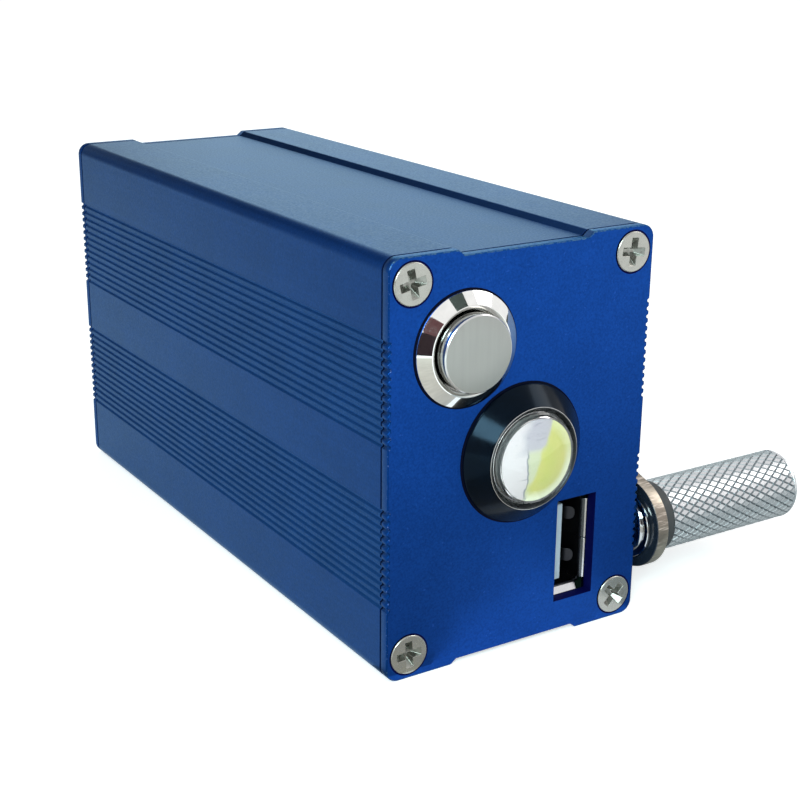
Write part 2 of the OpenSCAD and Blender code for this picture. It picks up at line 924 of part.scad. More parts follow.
module board_coil() {
    spot = [board_y0 + coil_back, mid_z];
    color([0.75, 0.42, 0.2])
        union() {
            rod_x(spot, board_x0 - coil_h, board_x0 - coil_h + coil_flange, coil_r);
            rod_x(spot, board_x0 - coil_flange, board_x0, coil_r);
            rod_x(spot, board_x0 - coil_h, board_x0, coil_r - coil_flange);
        }
}

module board_capacitors() {
    color([0.15, 0.16, 0.3])
        for (side = [-1, 1]) {
            spot = [board_y0 + coil_back + side * capacitor_apart, board_z1 - capacitor_down];
            rod_x(spot, board_x0 - capacitor_h, board_x0, capacitor_r);
        }
}

module board_chips() {
    color(dark)
        for (chip = chips)
            span(
                [board_x0 - chip[4], board_y0 + chip[0], board_z0 + chip[1] * board_h],
                [board_x0, board_y0 + chip[0] + chip[2], board_z0 + chip[1] * board_h + chip[3]]
            );
}

// Battery
module battery_cell() {
    color([0.2, 0.55, 0.35])
        rod_y(cell_x, cell_z, cell_y0, cell_y0 + cell_len, cell_r);
}

module battery_tabs() {
    color(steel)
        for (y = [cell_y0 - tab_t, cell_y0 + cell_len])
            rod_y(cell_x, cell_z, y, y + tab_t, tab_r);
}

module battery_cradle() {
    out_r = cell_r + cradle_t;
    color(dark)
        draw_back(cell_y0 + cradle_in, cell_len - 2 * cradle_in)
            difference() {
                translate([cell_x, cell_z]) {
                    circle(out_r);
                    translate([-out_r, -out_r])
                        square(cradle_foot);
                }
                translate([cell_x, cell_z])
                    circle(cell_r);
                translate([cell_x - 2 * cell_r, cell_z + cell_r / 2])
                    square(4 * cell_r);
                translate([cell_x + cell_r / 2, cell_z - 2 * cell_r])
                    square(4 * cell_r);
            }
}

module battery_foam() {
    color([0.25, 0.25, 0.27])
        difference() {
            span(
                [cell_x - foam_half_w, cell_y0 + cradle_in, cell_z],
                [cell_x + foam_half_w, cell_y0 + cell_len - cradle_in, inner_top]
            );
            rod_y(cell_x, cell_z, cell_y0, cell_y0 + cell_len, cell_r);
        }
}

// Gearbox
module plate_blank(x0) {
    draw_right(x0, plate_t)
        difference() {
            translate([plate_front, plate_low])
                square([plate_rear - plate_front, plate_high - plate_low]);
            for (p = posts)
                translate(p)
                    circle(post_screw_r + hole_gap);
            for (p = [first_axis, second_axis])
                translate(p)
                    circle(pin_r);
        }
}

module inner_plate() {
    color(steel)
        difference() {
            plate_blank(inner_plate_x0);
            rod_x(crank_axis, inner_plate_x0 - 1, inner_plate_x1 + 1, inner_bush_r);
            rod_x(rotor_axis, inner_plate_x0 - 1, inner_plate_x1 + 1, can_boss_r);
            for (p = generator_holes())
                rod_x(p, inner_plate_x0 - 1, inner_plate_x1 + 1, generator_screw_r + hole_gap);
        }
}

module outer_plate() {
    color(steel)
        difference() {
            plate_blank(outer_plate_x);
            rod_x(crank_axis, outer_plate_x - 1, inner_x + 1, bush_r);
        }
}

module plate_posts() {
    color([0.8, 0.7, 0.4])
        for (p = posts)
            difference() {
                rod_x(p, inner_plate_x1, outer_plate_x, post_r);
                rod_x(p, inner_plate_x1 - 1, outer_plate_x + 1, post_screw_r);
            }
}

module case_side_screws() {
    color(steel)
        for (p = posts)
            difference() {
                union() {
                    cone_x(p, half_w - side_head_t, half_w, post_screw_r, side_head_r);
                    rod_x(p, outer_plate_x - post_screw_len, half_w - eps, post_screw_r);
                }
                cross_cut_x(p, half_w, side_head_r * cross_share);
            }
}

// A cross recess in a face that looks along +X
module cross_cut_x(axis, x, r) {
    for (turn = [0, 90])
        translate([x - side_cross_depth, axis[0], axis[1]])
            rotate([turn, 0, 0])
                span([0, -r, -cross_half_w], [2, r, cross_half_w]);
}

module inner_plate_screws() {
    color(steel)
        for (p = posts)
            union() {
                cone_x(p, inner_plate_x0 - pan_head_t, inner_plate_x0, pan_head_r - head_edge, pan_head_r);
                rod_x(p, inner_plate_x0 - eps, inner_plate_x1 + post_screw_len, post_screw_r);
            }
}

module gear_pins() {
    color(steel)
        for (p = [first_axis, second_axis])
            rod_x(p, inner_plate_x0, inner_x, pin_r);
}

module crank_bush() {
    color([0.75, 0.6, 0.3])
        difference() {
            union() {
                rod_x(crank_axis, outer_plate_x, half_w + eps, bush_r);
                rod_x(crank_axis, half_w, half_w + bush_flange_t, bush_flange_r);
            }
            rod_x(crank_axis, outer_plate_x - 1, half_w + 2, shaft_r + running_gap);
        }
}

module inner_bush() {
    color([0.75, 0.6, 0.3])
        difference() {
            union() {
                rod_x(crank_axis, inner_plate_x0, inner_plate_x1 + eps, inner_bush_r);
                rod_x(crank_axis, inner_plate_x1, inner_plate_x1 + inner_flange_t, inner_flange_r);
            }
            rod_x(crank_axis, inner_plate_x0 - 1, inner_plate_x1 + 2, shaft_r + running_gap);
        }
}

// A pair of gears on one hub, bored to turn on its pin: the pinion fills one lane [x0, x1]
// and is driven from angle_in, the large gear fills the other and drives at angle_out
module gear_pair(axis, pinion_lane, pinion_size, gear_lane, gear_size, teeth, angle_in, angle_out) {
    hub_x0 = inner_plate_x1 + end_play;
    hub_x1 = outer_plate_x - end_play;
    join_r = root_r(teeth_pinion, pinion_size) - join_step;
    difference() {
        union() {
            gear_body(axis, pinion_lane, teeth_pinion, pinion_size, gap_phase(angle_in, teeth_pinion));
            gear_body(axis, gear_lane, teeth, gear_size, angle_out);
            rod_x(axis, gear_lane[1] - eps, pinion_lane[0] + eps, join_r);
            rod_x(axis, hub_x0, hub_x1, hub_r);
        }
        rod_x(axis, hub_x0 - 1, hub_x1 + 1, pin_r + running_gap);
    }
}

module first_gear_pair() {
    color([0.8, 0.65, 0.3])
        gear_pair(first_axis, slow_lane, module_slow, mid_lane, module_mid, teeth_first, angle_1, angle_2);
}

module second_gear_pair() {
    color([0.8, 0.65, 0.3])
        gear_pair(second_axis, mid_lane, module_mid, fast_lane, module_fast, teeth_second, angle_2, angle_3);
}

// Generator
function generator_holes() = [
    for (side = [0, 180])
        step_from(rotor_axis, generator_screw_ring, generator_screw_angle + side)
];

module generator_can() {
    color([0.55, 0.56, 0.58])
        difference() {
            union() {
                rod_x(rotor_axis, can_x0, can_x1, can_r);
                rod_x(rotor_axis, can_x1 - eps, inner_plate_x1, can_boss_r);
            }
            rod_x(rotor_axis, can_x0 - 1, can_x1 - can_front_t, can_r - can_wall);
            rod_x(rotor_axis, can_x0, inner_plate_x1 + 1, can_boss_bore);
            for (p = generator_holes())
                rod_x(p, can_x0, can_x1 + 1, generator_screw_r);
        }
}

module generator_cap() {
    color(dark)
        difference() {
            union() {
                rod_x(rotor_axis, can_x0, can_x0 + cap_t, can_r - can_wall);
                rod_x(rotor_axis, can_x0 - cap_boss_t, can_x0 + eps, cap_boss_r);
            }
            rod_x(rotor_axis, can_x0 - 3, can_x0 + 3, can_boss_bore);
        }
}

module generator_winding() {
    in_r = magnet_r + winding_gap;
    out_r = can_r - can_wall;
    color([0.72, 0.4, 0.2])
        difference() {
            rod_x(rotor_axis, magnet_x - magnet_half, magnet_x + magnet_half, out_r);
            rod_x(rotor_axis, magnet_x - magnet_half - 1, magnet_x + magnet_half + 1, in_r);
            for (i = [0 : slot_count - 1])
                translate([magnet_x - magnet_half - 1, rotor_axis[0], rotor_axis[1]])
                    rotate([360 * i / slot_count, 0, 0])
                        span(
                            [0, in_r - 1, -slot_half_w],
                            [2 * magnet_half + 2, out_r - yoke_t, slot_half_w]
                        );
        }
}

module generator_screws() {
    color(steel)
        for (p = generator_holes())
            union() {
                cone_x(p, inner_plate_x1, inner_plate_x1 + pan_head_t, generator_head_r, generator_face_r);
                rod_x(p, can_x1 - can_front_t, inner_plate_x1 + eps, generator_screw_r);
            }
}

module rotor_shaft() {
    color(steel)
        rod_x(rotor_axis, can_x0 - cap_boss_t, fast_lane[1] + pinion_over, rotor_shaft_r);
}

module rotor_magnet() {
    color([0.3, 0.3, 0.33])
        difference() {
            rod_x(rotor_axis, magnet_x - magnet_half, magnet_x + magnet_half, magnet_r);
            rod_x(rotor_axis, can_x0, can_x1, rotor_shaft_r);
        }
}

module rotor_pinion() {
    color([0.8, 0.65, 0.3])
        difference() {
            gear_body(
                rotor_axis, [fast_lane[0] - pinion_over, fast_lane[1] + pinion_over],
                teeth_pinion, module_fast, gap_phase(angle_3, teeth_pinion)
            );
            rod_x(rotor_axis, fast_lane[0] - 2, fast_lane[1] + 2, rotor_shaft_r);
        }
}

// Crank
// The flattened end of the crank's shaft, and the hole for it in the arm
module shaft_end() {
    difference() {
        circle(shaft_end_r);
        translate([shaft_flat, -shaft_end_r])
            square(2 * shaft_end_r);
    }
}

module crank_shaft() {
    color(steel)
        difference() {
            union() {
                rod_x(crank_axis, inner_plate_x0 + end_play, arm_x0, shaft_r);
                rod_x(crank_axis, half_w + bush_flange_t + end_play, arm_x0, collar_r);
                draw_right(arm_x0 - eps, arm_t + eps)
                    translate(crank_axis)
                        rotate(arm_angle)
                            shaft_end();
            }
            rod_x(crank_axis, arm_x1 - arm_screw_len, arm_x1 + 1, arm_screw_r);
        }
}

module crank_gear() {
    color([0.8, 0.65, 0.3])
        difference() {
            union() {
                gear_body(crank_axis, slow_lane, teeth_crank, module_slow, angle_1);
                rod_x(crank_axis, slow_lane[1] - eps, outer_plate_x - end_play, crank_hub_r);
            }
            rod_x(crank_axis, slow_lane[0] - 1, inner_x, shaft_r);
            for (i = [1 : web_hole_count]) {
                p = step_from(crank_axis, web_hole_ring, 360 * i / web_hole_count);
                rod_x(p, slow_lane[0] - 1, slow_lane[1] + 1, web_hole_r);
            }
        }
}

module crank_arm() {
    color([0.1, 0.11, 0.14])
        draw_right(arm_x0, arm_t)
            difference() {
                translate(crank_axis)
                    rotate(arm_angle) {
                        translate([0, -arm_w / 2])
                            square([arm_len, arm_w]);
                        circle(arm_w / 2);
                        translate([arm_len, 0])
                            circle(arm_w / 2);
                    }
                translate(crank_axis)
                    rotate(arm_angle)
                        shaft_end();
                translate(knob_axis)
                    circle(shoulder_r + running_gap);
            }
}

module arm_washer() {
    color(steel)
        difference() {
            rod_x(crank_axis, arm_x1, arm_x1 + arm_washer_t, arm_washer_r);
            rod_x(crank_axis, arm_x1 - 1, arm_x1 + 2, arm_screw_r + hole_gap);
        }
}

module arm_screw() {
    head_x = arm_x1 + arm_washer_t;
    color(steel)
        difference() {
            union() {
                cone_x(crank_axis, head_x, head_x + arm_head_t, arm_head_r, arm_head_r - 2 * head_edge);
                rod_x(crank_axis, arm_x1 - arm_screw_len, head_x + eps, arm_screw_r);
            }
            cross_cut_x(crank_axis, head_x + arm_head_t, arm_head_r * cross_share);
        }
}

// Handle
module handle_washer() {
    color(steel)
        difference() {
            rod_x(knob_axis, handle_washer_x, handle_washer_x + handle_washer_t, handle_washer_r);
            rod_x(knob_axis, handle_washer_x - 1, arm_x0, shoulder_r);
        }
}

module handle_screw() {
    color(steel)
        union() {
            cone_x(
                knob_axis, handle_washer_x - handle_head_t, handle_washer_x,
                handle_head_r - 2 * head_edge, handle_head_r
            );
            rod_x(knob_axis, handle_washer_x - eps, arm_x1 + end_play, shoulder_r);
            rod_x(knob_axis, arm_x1, arm_x1 + handle_thread_len, handle_thread_r);
        }
}

module handle_spacer() {
    color(dark)
        difference() {
            rod_x(knob_axis, spacer_x, spacer_x + spacer_t, spacer_r);
            rod_x(knob_axis, spacer_x - 1, spacer_x + spacer_t + 1, handle_thread_r);
        }
}

module handle_grip() {
    x0 = spacer_x + spacer_t;
    x1 = x0 + grip_len;
    color([0.8, 0.81, 0.83])
        difference() {
            union() {
                rod_x(knob_axis, x0, x1 - grip_chamfer, grip_r);
                cone_x(knob_axis, x1 - grip_chamfer, x1, grip_r, grip_r - grip_chamfer);
            }
            rod_x(knob_axis, x0 - 1, arm_x1 + handle_thread_len, handle_thread_r);
        }
}

case_tube();
front_panel();
rear_panel();
front_screws();
rear_screws();
button_bezel();
button_nut();
button_base();
button_terminals();
button_spring();
button_cap();
lamp_bezel();
lamp_nut();
lamp_lens();
lamp_reflector();
lamp_emitter();
lamp_board();
lamp_plug();
socket_shell();
socket_tongue();
socket_contacts();
main_board();
board_coil();
board_capacitors();
board_chips();
battery_cell();
battery_cradle();
battery_foam();
battery_tabs();
inner_plate();
outer_plate();
plate_posts();
case_side_screws();
inner_plate_screws();
gear_pins();
crank_bush();
inner_bush();
crank_shaft();
crank_gear();
crank_arm();
arm_washer();
arm_screw();
handle_grip();
handle_spacer();
handle_washer();
handle_screw();
first_gear_pair();
second_gear_pair();
generator_can();
generator_cap();
generator_winding();
generator_screws();
rotor_shaft();
rotor_magnet();
rotor_pinion();
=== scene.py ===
# Hand crank phone charger: finishes for the solid model's parts, and finer pieces where
# a part's look needs more than the solid has. Sizes here are in millimetres.
import json
import math

import bmesh
import bpy
from mathutils import Matrix, Vector

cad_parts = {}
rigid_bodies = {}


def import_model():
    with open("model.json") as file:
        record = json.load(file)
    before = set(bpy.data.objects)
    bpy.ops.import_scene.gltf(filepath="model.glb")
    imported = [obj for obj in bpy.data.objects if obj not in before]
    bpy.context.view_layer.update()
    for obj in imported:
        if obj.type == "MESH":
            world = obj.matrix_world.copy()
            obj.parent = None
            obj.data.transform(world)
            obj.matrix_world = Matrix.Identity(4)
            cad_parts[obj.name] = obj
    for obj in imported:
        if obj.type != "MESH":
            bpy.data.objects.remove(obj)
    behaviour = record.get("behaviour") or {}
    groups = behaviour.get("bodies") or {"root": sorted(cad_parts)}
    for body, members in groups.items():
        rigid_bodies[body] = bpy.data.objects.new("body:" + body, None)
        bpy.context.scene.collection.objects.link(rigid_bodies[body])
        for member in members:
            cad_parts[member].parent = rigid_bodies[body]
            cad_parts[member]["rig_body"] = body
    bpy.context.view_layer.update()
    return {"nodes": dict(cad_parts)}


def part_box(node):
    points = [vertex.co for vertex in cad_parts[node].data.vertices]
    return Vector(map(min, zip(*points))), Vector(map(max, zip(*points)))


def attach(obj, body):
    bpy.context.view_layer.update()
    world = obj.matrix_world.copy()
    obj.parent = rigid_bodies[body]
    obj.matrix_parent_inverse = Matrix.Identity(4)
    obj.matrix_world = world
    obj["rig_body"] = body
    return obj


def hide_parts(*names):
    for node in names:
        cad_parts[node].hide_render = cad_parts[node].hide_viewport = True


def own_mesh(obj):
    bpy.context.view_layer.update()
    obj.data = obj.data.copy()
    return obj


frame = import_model()
nodes = frame["nodes"]

MM = 0.001
MERGE = 0.0005
SOLID_MERGE = 0.001
FACING = {"front": (90, "X"), "back": (-90, "X"), "right": (90, "Y"), "left": (-90, "Y")}


# ---------------------------------------------------------------- places
def low(node):
    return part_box(node)[0] / MM


def high(node):
    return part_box(node)[1] / MM


def middle(node):
    return (low(node) + high(node)) / 2


# ---------------------------------------------------------------- modelling
def pick_only(piece):
    bpy.ops.object.select_all(action="DESELECT")
    piece.select_set(True)
    bpy.context.view_layer.objects.active = piece


def open_mesh(piece, select="DESELECT", mode="FACE"):
    pick_only(piece)
    bpy.ops.object.mode_set(mode="EDIT")
    bpy.ops.mesh.select_mode(type=mode)
    bpy.ops.mesh.select_all(action=select)


def close_mesh():
    bpy.ops.object.mode_set(mode="OBJECT")


def choose_faces(piece, test):
    """Selects the faces whose middle (mm) and normal pass the test, in edit mode."""
    mesh = bmesh.from_edit_mesh(piece.data)
    for face in mesh.faces:
        face.select_set(bool(test(face.calc_center_median() / MM, face.normal)))
    bmesh.update_edit_mesh(piece.data)


def choose_edges(piece, test):
    """Selects the edges whose two ends (mm) pass the test, in edit mode."""
    mesh = bmesh.from_edit_mesh(piece.data)
    for edge in mesh.edges:
        edge.select_set(bool(test(edge.verts[0].co / MM, edge.verts[1].co / MM)))
    bmesh.update_edit_mesh(piece.data)


def grow(step):
    """Extrudes what is selected by a step in millimetres."""
    bpy.ops.mesh.extrude_region_move(TRANSFORM_OT_translate={"value": Vector(step) * MM})


def scale_about(values, centre):
    bpy.ops.transform.resize(value=values, center_override=Vector(centre) * MM)


def clean(piece):
    """Merges doubles and turns the faces outwards."""
    open_mesh(piece, "SELECT")
    bpy.ops.mesh.remove_doubles(threshold=MERGE * MM)
    bpy.ops.mesh.normals_make_consistent(inside=False)
    close_mesh()


def apply_modifier(piece, modifier):
    pick_only(piece)
    bpy.ops.object.modifier_apply(modifier=modifier.name)


def smooth(piece, angle=32):
    pick_only(piece)
    bpy.ops.object.shade_smooth_by_angle(angle=math.radians(angle))


def soften(piece, width, segments=2, angle=30):
    """Rounds the sharp edges, and keeps the flats flat."""
    bevel = piece.modifiers.new("edge", "BEVEL")
    bevel.width = width * MM
    bevel.segments = segments
    bevel.limit_method = "ANGLE"
    bevel.angle_limit = math.radians(angle)
    bevel.miter_outer = "MITER_ARC"
    apply_modifier(piece, bevel)
    smooth(piece, 50)
    flats = piece.modifiers.new("flats", "WEIGHTED_NORMAL")
    flats.keep_sharp = True
    apply_modifier(piece, flats)


def started(name):
    """Names the primitive that was just added, and clears its placing."""
    piece = bpy.context.active_object
    piece.name = name
    piece.data.name = name
    bpy.ops.object.transform_apply(location=True, rotation=True, scale=True)
    return piece


def ring(name, radius, height, steps):
    bpy.ops.object.select_all(action="DESELECT")
    bpy.ops.mesh.primitive_circle_add(
        vertices=steps, radius=radius * MM, location=(0, 0, height * MM), fill_type="NOTHING"
    )
    return started(name)


def block(name, corner, far_corner):
    """A cube primitive at its size and place, as the start of a squared piece."""
    corner, far_corner = Vector(corner), Vector(far_corner)
    bpy.ops.object.select_all(action="DESELECT")
    bpy.ops.mesh.primitive_cube_add(
        size=1, location=(corner + far_corner) / 2 * MM, scale=(far_corner - corner) * MM
    )
    return started(name)


def turned(name, rings, steps, ends="filled"):
    """A turned piece about Z from rings of (radius, height), each extruded from the last.
    Its ends are filled, or bridged to each other when the rings go round a bore."""
    piece = ring(name, rings[0][0], rings[0][1], steps)
    open_mesh(piece, "SELECT", "EDGE")
    for (r0, h0), (r1, h1) in zip(rings, rings[1:]):
        grow((0, 0, h1 - h0))
        scale_about((r1 / r0, r1 / r0, 1), (0, 0, h1))
    bpy.ops.mesh.select_all(action="DESELECT")
    bpy.ops.mesh.select_non_manifold()
    if ends == "filled":
        bpy.ops.mesh.fill_holes(sides=0)
    else:
        bpy.ops.mesh.bridge_edge_loops()
    close_mesh()
    clean(piece)
    return piece


def settle(piece, at, facing, turn=0):
    """Turns a piece that was modelled upwards to its side, and sets it in its place."""
    angle, axis = FACING[facing]
    piece.data.transform(
        Matrix.Translation(Vector(at) * MM)
        @ Matrix.Rotation(math.radians(angle), 4, axis)
        @ Matrix.Rotation(math.radians(turn), 4, "Z")
    )
    return piece


def copied(piece, name):
    twin = bpy.data.objects.new(name, piece.data.copy())
    bpy.context.scene.collection.objects.link(twin)
    return twin


def cut(piece, cutter):
    """Takes one closed piece out of another, and throws the cutter away."""
    tool = piece.modifiers.new("cut", "BOOLEAN")
    tool.object = cutter
    tool.solver = "EXACT"
    apply_modifier(piece, tool)
    bpy.data.objects.remove(cutter)


def joined(name, pieces):
    bpy.ops.object.select_all(action="DESELECT")
    for piece in pieces:
        piece.select_set(True)
    bpy.context.view_layer.objects.active = pieces[0]
    bpy.ops.object.join()
    pieces[0].name = name
    return pieces[0]


def from_solid(node, name):
    """A copy of a CAD node's mesh, merged, ready to be worked on."""
    piece = copied(nodes[node], name)
    piece.data.materials.clear()
    open_mesh(piece, "SELECT")
    bpy.ops.mesh.remove_doubles(threshold=SOLID_MERGE * MM)
    bpy.ops.mesh.dissolve_limited(angle_limit=math.radians(1))
    close_mesh()
    return piece


def stands_for(piece, slot, *names):
    """The piece takes the place of CAD nodes and moves with their body."""
    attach(piece, nodes[names[0]]["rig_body"])
    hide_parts(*names)


# ---------------------------------------------------------------- finishes
class Finish:
    """A finish built up from its shader: grain, colour changes, polish and relief."""

    def __init__(self, name, colour, **sockets):
        self.material = bpy.data.materials.new(name)
        self.material.use_nodes = True
        self.tree = self.material.node_tree
        self.shader = self.tree.nodes["Principled BSDF"]
        self.colour = (*colour, 1)
        self.shader.inputs["Base Color"].default_value = self.colour
        for socket, value in sockets.items():
            self.shader.inputs[socket.replace("_", " ")].default_value = value
        self.place = self.add("TexCoord").outputs["Object"]

    def add(self, kind, **inputs):
        node = self.tree.nodes.new("ShaderNode" + kind)
        for socket, value in inputs.items():
            self.feed(node.inputs[socket.replace("_", " ")], value)
        return node

    def feed(self, socket, value):
        if isinstance(value, bpy.types.NodeSocket):
            self.tree.links.new(value, socket)
        else:
            socket.default_value = value

    def stretched(self, per_mm):
        """The place on the piece, with so many steps to the millimetre along each axis."""
        node = self.add("Mapping", Vector=self.place)
        node.inputs["Scale"].default_value = [value / MM for value in per_mm]
        return node.outputs["Vector"]

    def noise(self, per_mm, detail=2.0, roughness=0.5):
        """Grain with so many grains to the millimetre, alike or as three numbers."""
        steps = per_mm if isinstance(per_mm, tuple) else (per_mm,) * 3
        node = self.add(
            "TexNoise", Vector=self.stretched(steps), Scale=1.0, Detail=detail,
            Roughness=roughness
        )
        return node.outputs["Fac"]

    def span(self, value, low, high, start=0.3, stop=0.7):
        """The value, spread from start and stop to low and high, and held there."""
        node = self.add(
            "MapRange", Value=value, From_Min=start, From_Max=stop, To_Min=low, To_Max=high
        )
        return node.outputs["Result"]

    def calc(self, operation, first, second):
        node = self.add("Math")
        node.operation = operation
        self.feed(node.inputs[0], first)
        self.feed(node.inputs[1], second)
        return node.outputs["Value"]

    def mix(self, share, first, second):
        """A colour between two, each one a triple or the output of another step."""
        node = self.add("Mix")
        node.data_type = "RGBA"
        self.feed(node.inputs["Factor"], share)
        for socket, value in zip([s for s in node.inputs if s.type == "RGBA"], (first, second)):
            self.feed(socket, (*value, 1) if isinstance(value, tuple) else value)
        return next(s for s in node.outputs if s.type == "RGBA")

    def axes(self):
        node = self.add("SeparateXYZ", Vector=self.place)
        return [node.outputs[axis] for axis in "XYZ"]

    def paint(self, colour):
        self.feed(self.shader.inputs["Base Color"], colour)

    def polish(self, value):
        self.feed(self.shader.inputs["Roughness"], value)

    def relief(self, height, depth):
        """Relief of so many millimetres from a pattern of 0 to 1."""
        node = self.add("Bump", Height=height, Distance=depth * MM, Strength=1.0)
        self.feed(self.shader.inputs["Normal"], node.outputs["Normal"])

    def shade(self, amount, per_mm):
        """Colour that goes a little lighter and darker over the surface."""
        dark = tuple(value * (1 - amount) for value in self.colour[:3])
        light = tuple(min(value * (1 + amount), 1) for value in self.colour[:3])
        return self.mix(self.span(self.noise(per_mm, 3.0), 0, 1), dark, light)


def anodised(name, colour, polish, tint, along=None, grain=0.006, depth=0.25):
    """Dyed and sealed aluminium: fine blasted grain, with faint drawing lines along Y.
    The tint is the colour of its sheen, where it is seen at a low angle."""
    finish = Finish(name, colour, Metallic=1.0)
    finish.shader.inputs["Specular Tint"].default_value = (*tint, 1)
    fine = finish.noise(3.2, 3, 0.6)
    cloudy = finish.shade(0.08, 0.12)
    if along:
        lines = finish.noise(along, 2)
        lighter = tuple(min(value * 1.25 + 0.004, 1) for value in colour)
        cloudy = finish.mix(finish.span(lines, 0, 0.35, 0.5, 0.75), cloudy, lighter)
    grainy = finish.mix(finish.span(fine, depth, 0), cloudy, tuple(v * 0.35 for v in colour))
    speck = tuple(value * 1.6 + 0.015 for value in colour)
    spots = finish.span(finish.noise(2.2, 1), 0, 0.4, 0.72, 0.78)
    finish.paint(finish.mix(spots, grainy, speck))
    finish.polish(finish.span(finish.noise(3.4, 3), *polish))
    finish.relief(finish.noise(4.6, 3, 0.65), grain)
    return finish.material


def worn_edge(name, colour, bare, spots=(0.40, 0.62)):
    """The rubbed corner of a dyed part: dye with bright bare spots."""
    finish = Finish(name, colour, Metallic=1.0)
    rubbed = finish.span(finish.noise(2.4, 4, 0.7), 0, 1, *spots)
    finish.paint(finish.mix(rubbed, colour, bare))
    finish.shader.inputs["Specular Tint"].default_value = (0.5, 0.68, 0.86, 1)
    finish.polish(finish.span(finish.noise(3, 2), 0.3, 0.45))
    finish.relief(finish.noise(4, 3), 0.01)
    return finish.material


def bright_metal(name, colour, polish, grain_mm=0.0006, per_mm=0.6):
    """Polished or plated metal with faint wiping marks."""
    finish = Finish(name, colour, Metallic=1.0)
    finish.paint(finish.shade(0.05, per_mm))
    finish.polish(finish.span(finish.noise((1.5, 4, 1.5), 3), *polish))
    finish.relief(finish.noise(2.5, 3), grain_mm)
    return finish.material


def brushed_metal(name, colour, stretch, polish=(0.28, 0.46), depth=0.003):
    """Metal brushed one way: long fine scratches across the stretch."""
    finish = Finish(name, colour, Metallic=1.0)
    scratches = finish.noise(stretch, 3, 0.6)
    finish.paint(finish.mix(finish.span(scratches, 0, 1), tuple(v * 0.92 for v in colour), colour))
    finish.polish(finish.span(scratches, *polish))
    finish.relief(scratches, depth)
    return finish.material


def moulded(name, colour, polish=(0.45, 0.6), grain=0.006, **sockets):
    """Moulded plastic or rubber with a fine even grain."""
    finish = Finish(name, colour, **sockets)
    finish.paint(finish.shade(0.08, 0.3))
    finish.polish(finish.span(finish.noise(1.0, 3), *polish))
    finish.relief(finish.noise(3.5, 2), grain)
    return finish.material


def black_anodised():
    """The lamp's turned bezel: near black, satin, with a fine grain."""
    finish = Finish("black_anodised_bezel", (0.0003, 0.0013, 0.0035), IOR=1.22)
    finish.shader.inputs["Specular Tint"].default_value = (0.42, 0.68, 1.0, 1)
    finish.paint(finish.shade(0.3, 0.5))
    finish.polish(finish.span(finish.noise(2, 3), 0.12, 0.18))
    finish.relief(finish.noise(5, 3), 0.0035)
    return finish.material


def clear_glass():
    """The lamp's moulded lens."""
    finish = Finish("clear_lens", (1, 1, 1), Transmission_Weight=1.0, IOR=1.47)
    finish.polish(finish.span(finish.noise(0.5, 2), 0.0, 0.035))
    finish.relief(finish.noise(0.35, 2), 0.012)
    through = finish.add("BsdfTransparent")
    path = finish.add("LightPath")
    join = finish.add("MixShader")
    output = finish.tree.nodes["Material Output"]
    finish.feed(join.inputs[0], path.outputs["Is Shadow Ray"])
    finish.feed(join.inputs[1], finish.shader.outputs["BSDF"])
    finish.feed(join.inputs[2], through.outputs["BSDF"])
    finish.feed(output.inputs["Surface"], join.outputs["Shader"])
    return finish.material


def lamp_gel(centre):
    """What shows in the lens: the white cup on the left, the yellow phosphor on the right, a pale
    patch between them painted as the cup's reflection of the phosphor, and painted lilac shade
    above."""
    white, shade_lilac, grey = (0.45, 0.395, 0.405), (0.30, 0.27, 0.305), (0.15, 0.15, 0.17)
    yellow, lime, pale = (0.41, 0.36, 0.085), (0.35, 0.35, 0.06), (0.38, 0.38, 0.25)
    finish = Finish("phosphor_gel", white, Roughness=0.35)
    x, y, z = finish.axes()
    across = finish.calc("SUBTRACT", finish.calc("DIVIDE", x, MM), centre[0])
    up = finish.calc("SUBTRACT", finish.calc("DIVIDE", z, MM), centre[2])
    wobble = finish.span(finish.noise(0.45, 2), -0.5, 0.5)
    slanted = finish.calc("SUBTRACT", across, finish.calc("MULTIPLY", up, 0.45))
    past = finish.calc("ADD", slanted, wobble)
    upper = finish.span(up, 0, 1, 0.9, 1.8)
    # painted shade: lilac over the upper part, next to the phosphor
    shadowed = finish.mix(finish.span(past, 0, 1, -4.5, -2.9), white, shade_lilac)
    left = finish.mix(upper, white, shadowed)
    marks = finish.span(finish.noise((0.5, 1, 1.6), 3, 0.6), 0, 0.8, 0.62, 0.72)
    left = finish.mix(marks, left, grey)
    bent = finish.calc("ADD", across, finish.span(finish.noise(0.6, 2), -0.25, 0.25))
    below = finish.span(up, 1, 0, 1.2, 1.9)
    # painted reflection: the pale patch is the phosphor as the cup mirrors it
    left = finish.mix(
        finish.calc("MULTIPLY", finish.span(bent, 0, 1, -1.9, -1.7), below), left, pale
    )
    line = finish.calc(
        "MULTIPLY", finish.span(bent, 0, 1, -2.0, -1.85), finish.span(bent, 1, 0, -1.75, -1.6)
    )
    left = finish.mix(finish.calc("MULTIPLY", line, below), left, grey)
    right = finish.mix(finish.span(finish.noise(0.35, 3), 0, 1), yellow, lime)
    squares = finish.calc("ADD", finish.calc("POWER", across, 2.0), finish.calc("POWER", up, 2.0))
    reach = finish.calc("SQRT", squares, 0)
    low_rim = finish.calc(
        "MULTIPLY", finish.span(reach, 0, 1, 4.0, 5.1), finish.span(up, 1, 0.4, -1.5, 1)
    )
    right = finish.mix(low_rim, right, (0.56, 0.56, 0.39))
    colour = finish.mix(finish.span(past, 0, 1, -0.25, 0.45), left, right)
    finish.paint(colour)
    finish.relief(finish.noise(1.4, 3), 0.03)
    return finish.material


